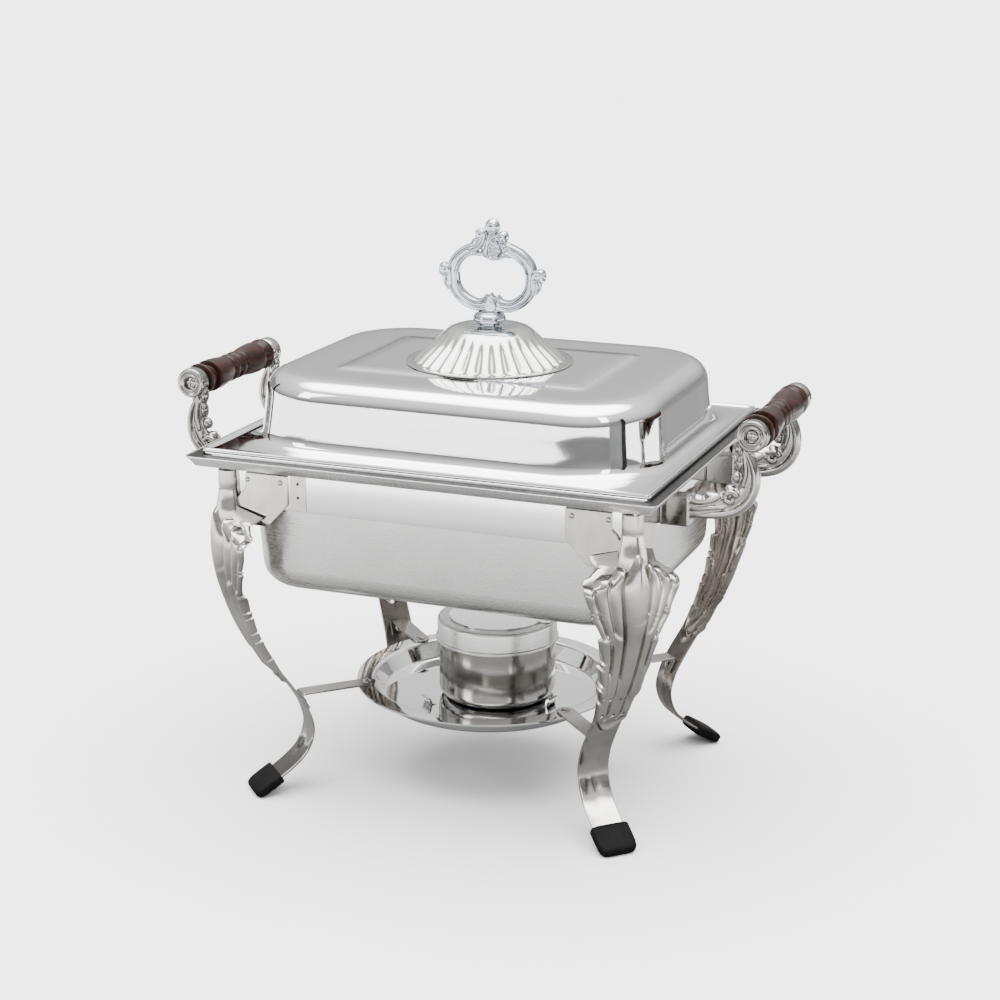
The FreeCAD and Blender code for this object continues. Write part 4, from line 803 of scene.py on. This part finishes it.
def bracket_mesh():
    """A cast bracket for the right side, on the plane y = 0: arm, ridge, leaf lobes and root."""
    arm = [(213.5, 293, 5.0, 4.6), (210.6, 283, 4.6, 4.2), (211.2, 272, 4.8, 3.8), (210.6, 262, 5.4, 3.8),
           (206.0, 253, 5.6, 4.0), (198, 246.4, 6.0, 4.2), (186, 243.0, 6.6, 4.6), (174, 241, 7.4, 5.4),
           (166, 240, 8.4, 5.8)]
    ridge = [(206.0, 301.5, 1.6), (204.6, 295.5, 1.9), (207.2, 289, 2.1), (211.8, 282, 2.4),
             (215.4, 274, 2.6),
             (217.0, 265, 2.8), (215.8, 256.5, 3.0), (211.4, 248.6, 3.3), (204.4, 242.6, 3.5),
             (195.4, 239.4, 3.6),
             (184, 237.8, 3.4), (172, 237.0, 3.0)]
    shells = [sweep(arm, 60, 20), sweep([(x, z, size, size + 3.0) for x, z, size in ridge], 90, 18)]
    curls = [(204.8, 286.0, 2.4, 6.4, -8), (205.6, 275.5, 2.6, 6.0, 4), (203.4, 265.5, 3.6, 4.4, 24),
             (200.6, 256.6, 5.0, 3.2, 20), (188.0, 250.2, 7.4, 3.2, 10), (175.4, 247.8, 7.0, 3.4, 8)]
    shells += [lump(x, z, half_x, half_z, 4.2, lean) for x, z, half_x, half_z, lean in curls]
    shells += raised([(208.8, 289, 0.8), (209.6, 279, 1), (210.6, 270, 1.1), (208.6, 260.5, 1)], 3.9, 1.4)
    shells += raised(spiral(200.4, 251.2, 20, 380, 5.2, 1.4, 1.3), 4.4, 1.7)
    shells += raised([(194.5, 253.0, 0.8), (187.0, 248.6, 1.2), (178.0, 246.6, 1.2), (169.0, 247.0, 1)],
                     4.4, 1.6)
    shells += raised([(197.0, 244.6, 0.8), (187.5, 243.6, 1.1), (177.5, 241.8, 1.1), (168.0, 241.6, 1)],
                     4.8, 1.4)
    shells.append(block_mesh((151, -6.5, 228.2), (172, 6.5, 250), 1.0))
    return cast("bracket_casting", shells, 0.5, 4)


def boss_mesh():
    """The round boss of a bracket, turned about Y: a rolled edge and the screw's counterbore."""
    path = [(2.6, -6.4), (10.2, -6.4), (11, -5.6), (11, 4.6), (10.6, 5.8), (9.6, 6.5), (8.4, 6.3),
            (7.6, 5.5),
            (6.9, 5.5), (6.3, 6.4), (5.6, 6.5), (5.0, 6.0), (5.0, 3.5), (2.6, 3.5)]
    mesh = turned_mesh("boss", path, True, steps=72)
    mesh.transform(Matrix.Rotation(math.radians(90), 4, "X"))
    return mesh


def screw_mesh():
    """A cross-recessed screw head, facing -Y at the origin."""
    head = turned_mesh("screw", [(4.4, -1.6), (4.6, -1.2), (4.4, -0.2), (3.6, 0.5), (2.0, 0.95),
                                 (0.5, 1.05)][::-1],
                       False, steps=36)
    blank = bpy.data.objects.new("screw_blank", head)
    bpy.context.scene.collection.objects.link(blank)
    cross = merged("cross", [block_mesh((-2.4, -0.45, -0.6), (2.4, 0.45, 2.2), 0.12),
                             block_mesh((-0.45, -2.4, -0.6), (0.45, 2.4, 2.2), 0.12)])
    cutter = bpy.data.objects.new("cross_cutter", cross)
    bpy.context.scene.collection.objects.link(cutter)
    carve = blank.modifiers.new("carve", "BOOLEAN")
    carve.operation = "DIFFERENCE"
    carve.object = cutter
    carve.use_self = True
    depsgraph = bpy.context.evaluated_depsgraph_get()
    mesh = bpy.data.meshes.new_from_object(blank.evaluated_get(depsgraph))
    bpy.data.objects.remove(blank)
    bpy.data.objects.remove(cutter)
    mesh.transform(Matrix.Rotation(math.radians(90), 4, "X"))
    return mesh


def grip_mesh(name, x):
    """A turned wood grip along Y: a flared end, a long bead and half of the middle rings."""
    half = [(49.6, 3.0), (49.6, 10.9), (49.2, 11.6), (48.3, 12.0), (46.8, 11.9), (43.8, 10.8), (40.6, 9.2),
            (38.2, 8.2), (36.8, 7.8), (36.3, 8.2), (36.1, 10.9), (35.8, 11.7), (35.1, 12.0), (33.8, 12.0),
            (31.5, 11.9), (27, 11.8), (21.5, 11.3), (16.5, 10.7), (12.5, 10.1), (10.4, 9.7), (9.8, 9.3),
            (9.4, 8.4), (9.0, 9.1), (8.2, 9.9), (6.4, 10.5), (4.2, 10.5), (2.2, 10.0), (0.9, 9.2),
            (0.5, 8.7)]
    section = [(r, y) for y, r in half] + [(r, -y) for y, r in half[::-1]]
    mesh = turned_mesh(name, section, False, steps=96)
    mesh.transform(Matrix.Translation((x * MM, 0, GRIP_Z * MM)) @ Matrix.Rotation(math.radians(90), 4, "X"))
    return mesh


# ------------------------------------------------------------------ pieces made by node trees

def flute_tree(material):
    """Convex flutes pressed into a turned piece: each point moves out by a rule of its angle."""
    tree, start, end = node_group("pressed_flutes", [
        ("Flute Count", "NodeSocketFloat"), ("Flute Depth", "NodeSocketFloat")])
    place = tree.nodes.new("GeometryNodeInputPosition")
    apart = tree.nodes.new("ShaderNodeSeparateXYZ")
    wire(tree, place, "Position", apart, "Vector")
    angle = maths(tree, "ARCTAN2", apart.outputs["Y"], apart.outputs["X"])
    halved = maths(tree, "MULTIPLY", start.outputs["Flute Count"], 0.5)
    wave = maths(tree, "ABSOLUTE", maths(tree, "COSINE", maths(tree, "MULTIPLY", angle, halved)))
    strength = spot(tree, "GeometryNodeInputNamedAttribute", data_type="FLOAT", Name="flute")
    scaled = maths(tree, "MULTIPLY", wave, strength.outputs["Attribute"])
    deep = maths(tree, "MULTIPLY", scaled, start.outputs["Flute Depth"])
    level = tree.nodes.new("ShaderNodeCombineXYZ")
    wire(tree, apart, "X", level, "X")
    wire(tree, apart, "Y", level, "Y")
    outward = spot(tree, "ShaderNodeVectorMath", operation="NORMALIZE")
    wire(tree, level, "Vector", outward, 0)
    push = spot(tree, "ShaderNodeVectorMath", operation="SCALE")
    wire(tree, outward, "Vector", push, 0)
    tree.links.new(deep, push.inputs["Scale"])
    move = tree.nodes.new("GeometryNodeSetPosition")
    wire(tree, start, "Geometry", move, "Geometry")
    wire(tree, push, "Vector", move, "Offset")
    return ended(tree, move.outputs["Geometry"], end, material)


def fluted_base():
    """The fluted foot of the lid's handle: a plain shoulder, flutes, and a thin flat disc."""
    profile = [(2.6, 344, 0), (9, 344, 0), (14, 344.4, 0), (20, 344.5, 0), (24, 344.3, 0), (28, 343.2, 0),
               (31, 341.6, 0), (33, 339.6, 0.06), (34.6, 337.4, 0.25), (36.2, 335, 0.45),
               (38.0, 332.6, 0.62),
               (40.2, 330.2, 0.78), (42.6, 327.8, 0.9), (45.2, 325.4, 0.98), (47.4, 323.4, 1.02),
               (49.2, 321.8, 1.02), (50.6, 320.6, 1.0), (51.8, 319.8, 0.9), (53.2, 319.3, 0.6),
               (54.6, 318.95, 0.3), (55.8, 318.9, 0), (58, 318.9, 0), (60.4, 318.9, 0), (61, 318.7, 0),
               (61, 318.2, 0), (60.6, 318.05, 0), (2.6, 318.05, 0)]
    fine = []
    for a, b in zip(profile, profile[1:]):
        parts = 3 if a[2] or b[2] else 1
        fine += [tuple(a[k] + (b[k] - a[k]) * i / parts for k in range(3)) for i in range(parts)]
    fine.append(profile[-1])
    steps = FLUTES * FLUTE_STEPS
    mesh = turned_mesh("fluted_blank", [(r, z) for r, z, _ in fine], True, steps=steps)
    layer = mesh.attributes.new("flute", "FLOAT", "POINT")
    layer.data.foreach_set("value", [size for _, _, size in fine for _ in range(steps)])
    return run_nodes("fluted_foot", mesh, flute_tree(FLUTED),
                     {"Flute Count": float(FLUTES), "Flute Depth": 3.8 * MM})


def lance_tree(material):
    """Small lanced tabs set round a circle: a named count, radius and start angle."""
    tree, start, end = node_group("lanced_tabs", [
        ("Tab Count", "NodeSocketInt"), ("Tab Circle", "NodeSocketFloat"),
                                                  ("Tab Start", "NodeSocketFloat")])
    circle = spot(tree, "GeometryNodeMeshCircle", fill_type="NONE")
    wire(tree, start, "Tab Count", circle, "Vertices")
    wire(tree, start, "Tab Circle", circle, "Radius")
    around = tree.nodes.new("ShaderNodeCombineXYZ")
    wire(tree, start, "Tab Start", around, "Z")
    turned_circle = tree.nodes.new("GeometryNodeTransform")
    wire(tree, circle, "Mesh", turned_circle, "Geometry")
    wire(tree, around, "Vector", turned_circle, "Rotation")
    place = tree.nodes.new("GeometryNodeInputPosition")
    facing = spot(tree, "FunctionNodeAlignRotationToVector", axis="X")
    wire(tree, place, "Position", facing, "Vector")
    copies = tree.nodes.new("GeometryNodeInstanceOnPoints")
    wire(tree, turned_circle, "Geometry", copies, "Points")
    wire(tree, start, "Geometry", copies, "Instance")
    wire(tree, facing, "Rotation", copies, "Rotation")
    return ended(tree, copies.outputs["Instances"], end, material)


# ------------------------------------------------------------------ the stand

finish_piece("rim_ledge", make_rim(), "stand", BRIGHT, ["frame_rim"], 28)
# Painted shade: a near-black strip laid on the ledge for the shadowed gap under the lid's bead.
painted_shade_strip = collar_mesh("painted_ledge_shade", [(173, 264.02), (173, 264.7), (164.8, 264.7), (164.8, 264.02)],
                    LEG_SHIFT, 5.0, 173.0)
finish_piece("painted_ledge_shade", painted_shade_strip, "stand", GAP_SHADE_AND_RIVET_BLACK)
heads("joint_rivet_heads", [((-96, -122.8, z), (0, -1, 0)) for z in (236.5, 246.5)], 1.1, 0.5, "stand",
      material=GAP_SHADE_AND_RIVET_BLACK)
finish_piece("apron_collar", make_apron(), "stand", MIRROR, ["frame_apron"], 20)

LEG = leg_mesh()
BOOT = boot_mesh()
for corner in CORNERS:
    place = corner_matrix(corner)
    # The rear legs take the darker copy of the satin steel: painted shade.
    leg_steel = REAR_LEG_PAINTED_SHADE if corner.startswith("rear") else SATIN
    for blank, piece, slot, material, crease in ((LEG, "leaf_leg_", "satin_steel", leg_steel, 30),
                                                 (BOOT, "rubber_boot_", "rubber", RUBBER, 60)):
        mesh = blank.copy()
        mesh.transform(place)
        node = ("leg_" if blank is LEG else "boot_") + corner
        finish_piece(piece + corner, mesh, "stand", material, [node], crease)

wing_spots = []
for side_x in (-1, 1):
    for side_y in (-1, 1):
        for reach in (16, 42):
            for inward in (1, -1):
                step = 2.0 if inward > 0 else -1.5
                wing_spots.append(((side_x * (POST_X - reach), side_y * (POST_Y + step), 246.5),
                                   (0, side_y * inward, 0)))
                wing_spots.append(((side_x * (POST_X + step), side_y * (POST_Y - reach), 246.5),
                                   (side_x * inward, 0, 0)))
heads("wing_rivet_heads", wing_spots, 2.0, 0.9, "stand", ["wing_rivets"], SMOKED)

dish = turned_sheet("dish", [(101, 74), (88, 74), (81, 61), (0.5, 61)], [3.5, 3.5], 1.5)
finish_piece("dish_shelf", dish, "stand", MIRROR, ["fuel_shelf"], 50)
tab_path = rounded([(-5, 60.2), (-1.2, 60.8), (0.2, 65.6), (1.4, 65.6)], 1.5, 4)
tab = thickened(tab_path, 1.0)
tab_rings = [[(p.x, y, p.y) for p in tab] for y in (-6, -5.6, 5.6, 6)]
tab_mesh = raw_mesh("tab", *bridge(tab_rings, False))
tabs = run_nodes("dish_tabs", tab_mesh, lance_tree(MIRROR),
                 {"Tab Count": 3, "Tab Circle": 54 * MM, "Tab Start": math.radians(-10)})
finish_piece("dish_tabs", tabs, "stand", MIRROR)

STAY_PIN = (math.sqrt(2 * 94.5 ** 2 - LEG_SHIFT ** 2) - LEG_SHIFT) / math.sqrt(2)
LEAN = math.tan(STAY_LEAN)
stay_face = LEG_REACH - 43 - 2 / math.cos(STAY_LEAN) - 0.6
stay_path = rounded([(STAY_PIN - STAY_HALF, 74.75), (stay_face - 1.3, 74.75),
                     (stay_face - 12 * LEAN - 1.1, 63.6)], 1.6, 5)
ROUND_END = [math.radians(a) for a in range(0, 91, 10)]
stay_points = [Vector(stay_path[0]) + Vector((STAY_HALF * (1 - math.cos(a)), 0)) for a in ROUND_END]
stay_widths = [STAY_HALF * math.sin(max(a, math.radians(4))) for a in ROUND_END]
stay_widths += [STAY_HALF] * (len(stay_path) - 1)
stay_line = stay_points + stay_path[1:]
stay_rings = []
for i, (point, wide) in enumerate(zip(stay_line, stay_widths)):
    way = (stay_line[min(i + 1, len(stay_line) - 1)] - stay_line[max(i - 1, 0)]).normalized()
    out = Vector((-way.y, way.x))
    ring = []
    for across, up in ((-1, -0.45), (-0.96, -0.75), (0.96, -0.75), (1, -0.45), (1, 0.45), (0.96, 0.75),
                       (-0.96, 0.75), (-1, 0.45)):
        spot_on = point + out * up
        ring.append((spot_on.x, across * wide, spot_on.y))
    stay_rings.append(ring)
STAY = raw_mesh("stay", *bridge(stay_rings, False))
shelf_spots, stay_spots = [], []
for corner, (side_x, side_y) in CORNERS.items():
    mesh = STAY.copy()
    mesh.transform(corner_matrix(corner))
    finish_piece("stay_" + corner, mesh, "stand", SMOKED, ["shelf_stay_" + corner], 40)
    turn = Vector((side_x, side_y, 0)).normalized()
    base = Vector((side_x * LEG_SHIFT, 0, 0))
    shelf_spots.append((base + turn * STAY_PIN + Vector((0, 0, 75.5)), (0, 0, 1)))
    shelf_spots.append((base + turn * STAY_PIN + Vector((0, 0, 72.5)), (0, 0, -1)))
    drop = 75.5 - 7.6
    slant = Vector((-math.cos(STAY_LEAN), 0, math.sin(STAY_LEAN)))
    facing = turn * slant.x + Vector((0, 0, slant.z))
    stay_spots.append((base + turn * (stay_face - 8.0 * LEAN - 1.4) + Vector((0, 0, drop)), facing))
heads("dish_rivet_heads", shelf_spots, 3.6, 1.2, "stand", ["shelf_rivets"])
heads("stay_rivet_heads", stay_spots, 3.2, 1.2, "stand", ["stay_rivets"])

BRACKET, BOSS, SCREW = bracket_mesh(), boss_mesh(), screw_mesh()
bracket_spots, screws = [], {"left": [], "right": []}
for side_name, side in (("left", -1), ("right", 1)):
    for end_name, end in (("front", -1), ("rear", 1)):
        casting = BRACKET.copy()
        casting.transform(Matrix.Translation((0, end * BRACKET_Y * MM, 0)) @ Matrix.Scale(side, 4,
                                                                                          (1, 0, 0)))
        boss = BOSS.copy()
        boss.transform(Matrix.Translation((side * GRIP_X * MM, end * BRACKET_Y * MM, GRIP_Z * MM))
                       @ Matrix.Scale(-end, 4, (0, 1, 0)))
        both = merged("bracket", [casting, boss])
        finish_piece(f"scroll_bracket_{side_name}_{end_name}", both, "stand", CAST,
                     [f"handle_bracket_{side_name}_{end_name}"], 50)
        screw = SCREW.copy()
        screw.transform(Matrix.Translation((side * GRIP_X * MM, end * (BRACKET_Y + 4.2) * MM, GRIP_Z * MM))
                        @ Matrix.Scale(-end, 4, (0, 1, 0)))
        screws[side_name].append(screw)
        for z in (233.5, 244.5):
            bracket_spots.append(((side * 149.5, end * BRACKET_Y, z), (-side, 0, 0)))
    finish_piece("turned_grip_" + side_name, grip_mesh("grip", side * GRIP_X), "stand", WOOD,
                 ["handle_grip_" + side_name], 32)
    finish_piece("grip_screws_" + side_name, merged("screws", screws[side_name]), "stand",
                 SMOKED,
                 ["handle_screws_" + side_name], 30)
heads("bracket_rivet_heads", bracket_spots, 3.6, 1.2, "stand", ["bracket_rivets"])


# ------------------------------------------------------------------ pans and lid

water = make_pan("water_pan", (147, 118, 264), (141, 112, 160), (164.5, 132, 8), 30, 20)
finish_piece("water_pan_shell", water, "water_pan", BRUSHED, ["water_pan"], 50)
food = make_pan("food_pan", (145, 112.5, 265.2), (137, 104.5, 201.4), (162.5, 130, 8), 26, 14)
finish_piece("food_pan_shell", food, "food_pan", MIRROR, ["food_pan"], 50)
finish_piece("lid_dome", make_lid(), "lid", MIRROR, ["lid_shell"], 40)
finish_piece("fluted_foot", fluted_base(), "lid", FLUTED, ["lid_handle_base"], 40)
collar = turned_mesh("collar", [(2.6, 343.5), (12.5, 343.6), (11, 344.2), (9.6, 345.4), (9.0, 346.6),
                                (10.8, 347.2),
                                (11.7, 348.0),
                                (12.0, 349.4), (11.7, 351.0), (10.6, 352.8), (8.6, 354.2), (6.0, 355.0),
                                (2.6, 355.2)], True, steps=72)
finish_piece("ring_collar", collar, "lid", CHROME, ["lid_handle_collar"], 40)
finish_piece("scroll_ring", ring_mesh(), "lid", CHROME, ["lid_handle_ring"], 80)


# ------------------------------------------------------------------ fuel holder

cup = turned_sheet("cup", [(44, 105.7), (44, 61.3), (0.5, 61.3)], [8], -1.2, HOLDER_X)
finish_piece("holder_cup", cup, "fuel_holder", SMOKED, ["fuel_cup"], 50)
cap_path = rounded([(45.4, 105.75), (46.4, 106.2), (46.4, 107.8), (45.2, 108.6), (45.2, 122.7),
                    (27, 122.7)],
                   [0.4, 0.6, 0.6, 2.2], 5)
cap = turned_mesh("cap", [(p.x, p.y) for p in thickened(cap_path, 1.15)], True, HOLDER_X, steps=128)
finish_piece("holder_cap", cap, "fuel_cap", BRUSHED, ["fuel_cap"], 45)

for node, material in (("fuel_can", TIN), ("snuffer_disc", MIRROR), ("snuffer_pin", SATIN),
                       ("apron_joint_strip", SATIN), ("lid_handle_stud", SATIN),
                       ("lid_handle_washer", SATIN),
                       ("lid_handle_nut", SATIN), ("handle_rod_left", SATIN), ("handle_rod_right", SATIN),
                       ("grip_washers_left", SATIN), ("grip_washers_right", SATIN)):
    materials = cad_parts[node].data.materials
    materials.clear()
    materials.append(material)


# ------------------------------------------------------------------ floor, light and camera

def flat_card(name, middle, size, material, toward):
    """A flat stage card that faces a point."""
    mesh = bpy.data.meshes.new(name)
    x, y = size[0] / 2, size[1] / 2
    mesh.from_pydata([(-x, -y, 0), (x, -y, 0), (x, y, 0), (-x, y, 0)], [], [(0, 1, 2, 3)])
    mesh.materials.append(material)
    card = bpy.data.objects.new(name, mesh)
    bpy.context.scene.collection.objects.link(card)
    card.location = middle
    card.rotation_euler = (Vector(toward) - Vector(middle)).to_track_quat("Z", "Y").to_euler()
    return card


def paper(name, low, high, glow=0.0):
    """Seamless paper, very slightly uneven."""
    material, tree, shader = new_material(name)
    noise = spot(tree, "ShaderNodeTexNoise", Scale=3.0, Detail=2.0)
    tree.links.new(texture_place(tree, (1, 1, 1)), noise.inputs["Vector"])
    tree.links.new(ramp(tree, noise.outputs["Fac"], low, high, 0.3, 0.7), shader.inputs["Base Color"])
    shader.inputs["Roughness"].default_value = 0.9
    shader.inputs["Specular IOR Level"].default_value = 0.0
    if glow:
        shader.inputs["Emission Color"].default_value = (1, 1, 1, 1)
        shader.inputs["Emission Strength"].default_value = glow
    return material


flat_card("studio_floor", (0, 0, 0), (60, 60), paper("floor_paper", grey(0.90), grey(0.93)), (0, 0, 1))
black, dim = paper("black_card", grey(0.010), grey(0.016)), paper("dim_card", grey(0.10), grey(0.16))
CARDS = [("card_right", 66, 1.15, (0.42, 0.62), 0.31, dim),
         ("card_left", -112, 1.15, (0.42, 0.62), 0.31, dim),
         ("card_back_right", 158, 1.3, (0.9, 0.34), 0.17, dim),
         ("card_band", 74, 1.0, (0.10, 0.7), 0.35, black),
         ("card_far_left", -96, 1.0, (0.08, 0.7), 0.35, black)]
for name, bearing, away, size, height, colour in CARDS:
    turn = math.radians(bearing)
    card = flat_card(name, (away * math.sin(turn), -away * math.cos(turn), height), size, colour,
                     (0, 0, height))
    card.visible_camera = card.visible_diffuse = card.visible_shadow = False


def painted_shadow_paper():
    """Paper that is dark in the middle and pale further out, for the metal to mirror: the dark middle is a
    painted shadow of the object on the floor, seen only in reflections.
    """
    material, tree, shader = new_material("painted_shadow_paper")
    place = texture_place(tree, (0.8, 0.8, 0.8))
    round_fade = spot(tree, "ShaderNodeTexGradient", gradient_type="SPHERICAL")
    tree.links.new(place, round_fade.inputs["Vector"])
    # Painted shadow: dark under the object, pale further out.
    colour = ramp(tree, round_fade.outputs["Fac"], grey(0.9), grey(0.16), 0.0, 0.76,
                  ((0.28, 0.5), (0.52, 0.34), (0.66, 0.2)))
    tree.links.new(colour, shader.inputs["Base Color"])
    shader.inputs["Roughness"].default_value = 0.9
    shader.inputs["Specular IOR Level"].default_value = 0.0
    return material


table = flat_card("mirror_table", (0, 0, 0.001), (2.5, 2.5), painted_shadow_paper(), (0, 0, 1))
table.visible_camera = table.visible_diffuse = table.visible_shadow = False


wall_rings = [[(28000 * math.cos(math.radians(a)), 28000 * math.sin(math.radians(a)), z)
               for a in range(0, 360, 5)] for z in (-10, 20000)]
wall_points, wall_faces = bridge(wall_rings, False)
wall_mesh = raw_mesh("backdrop_wall", wall_points, wall_faces[:-2])
wall_mesh.materials.append(paper("backdrop_paper", grey(0.08), grey(0.12), 3.7))
wall = bpy.data.objects.new("backdrop_wall", wall_mesh)
bpy.context.scene.collection.objects.link(wall)
wall.visible_glossy = wall.visible_diffuse = wall.visible_shadow = False


def area_light(name, place, size, power):
    """A large soft light that faces the middle of the object."""
    lamp = bpy.data.lights.new(name, "AREA")
    lamp.shape = "RECTANGLE"
    lamp.size, lamp.size_y = size
    lamp.energy = power
    light = bpy.data.objects.new(name, lamp)
    bpy.context.scene.collection.objects.link(light)
    light.location = place
    light.rotation_euler = (Vector((0, 0, 0.25)) - Vector(place)).to_track_quat("-Z", "Y").to_euler()


area_light("left_front", (-1.7, -1.9, 1.5), (0.7, 1.2), 16)
area_light("right_front", (1.9, -1.5, 1.7), (0.5, 1.2), 12)

world = bpy.data.worlds.new("studio")
bpy.context.scene.world = world
world.use_nodes = True
sky = world.node_tree
backdrop = sky.nodes["Background"]
where = sky.nodes.new("ShaderNodeTexCoord")
split = sky.nodes.new("ShaderNodeSeparateXYZ")
wire(sky, where, "Generated", split, "Vector")
glow = ramp(sky, split.outputs["Z"], grey(0.02), grey(1.0), 0.0, 0.88, ((0.34, 0.10), (0.75, 0.15)))
sky.links.new(glow, backdrop.inputs["Color"])
backdrop.inputs["Strength"].default_value = 11.0

camera_data = bpy.data.cameras.new("product_camera")
camera_data.lens = 75.55
camera_data.sensor_width = 36.0
camera_data.clip_end = 100
camera = bpy.data.objects.new("product_camera", camera_data)
bpy.context.scene.collection.objects.link(camera)
around, above, away = math.radians(21.71), math.radians(16.24), 1.55508
target = Vector((0.00812, 0.0, 0.21304))
back = Vector((math.sin(around) * math.cos(above), -math.cos(around) * math.cos(above), math.sin(above)))
camera.location = target + back * away
camera.rotation_euler = (-back).to_track_quat("-Z", "Y").to_euler()
bpy.context.scene.camera = camera
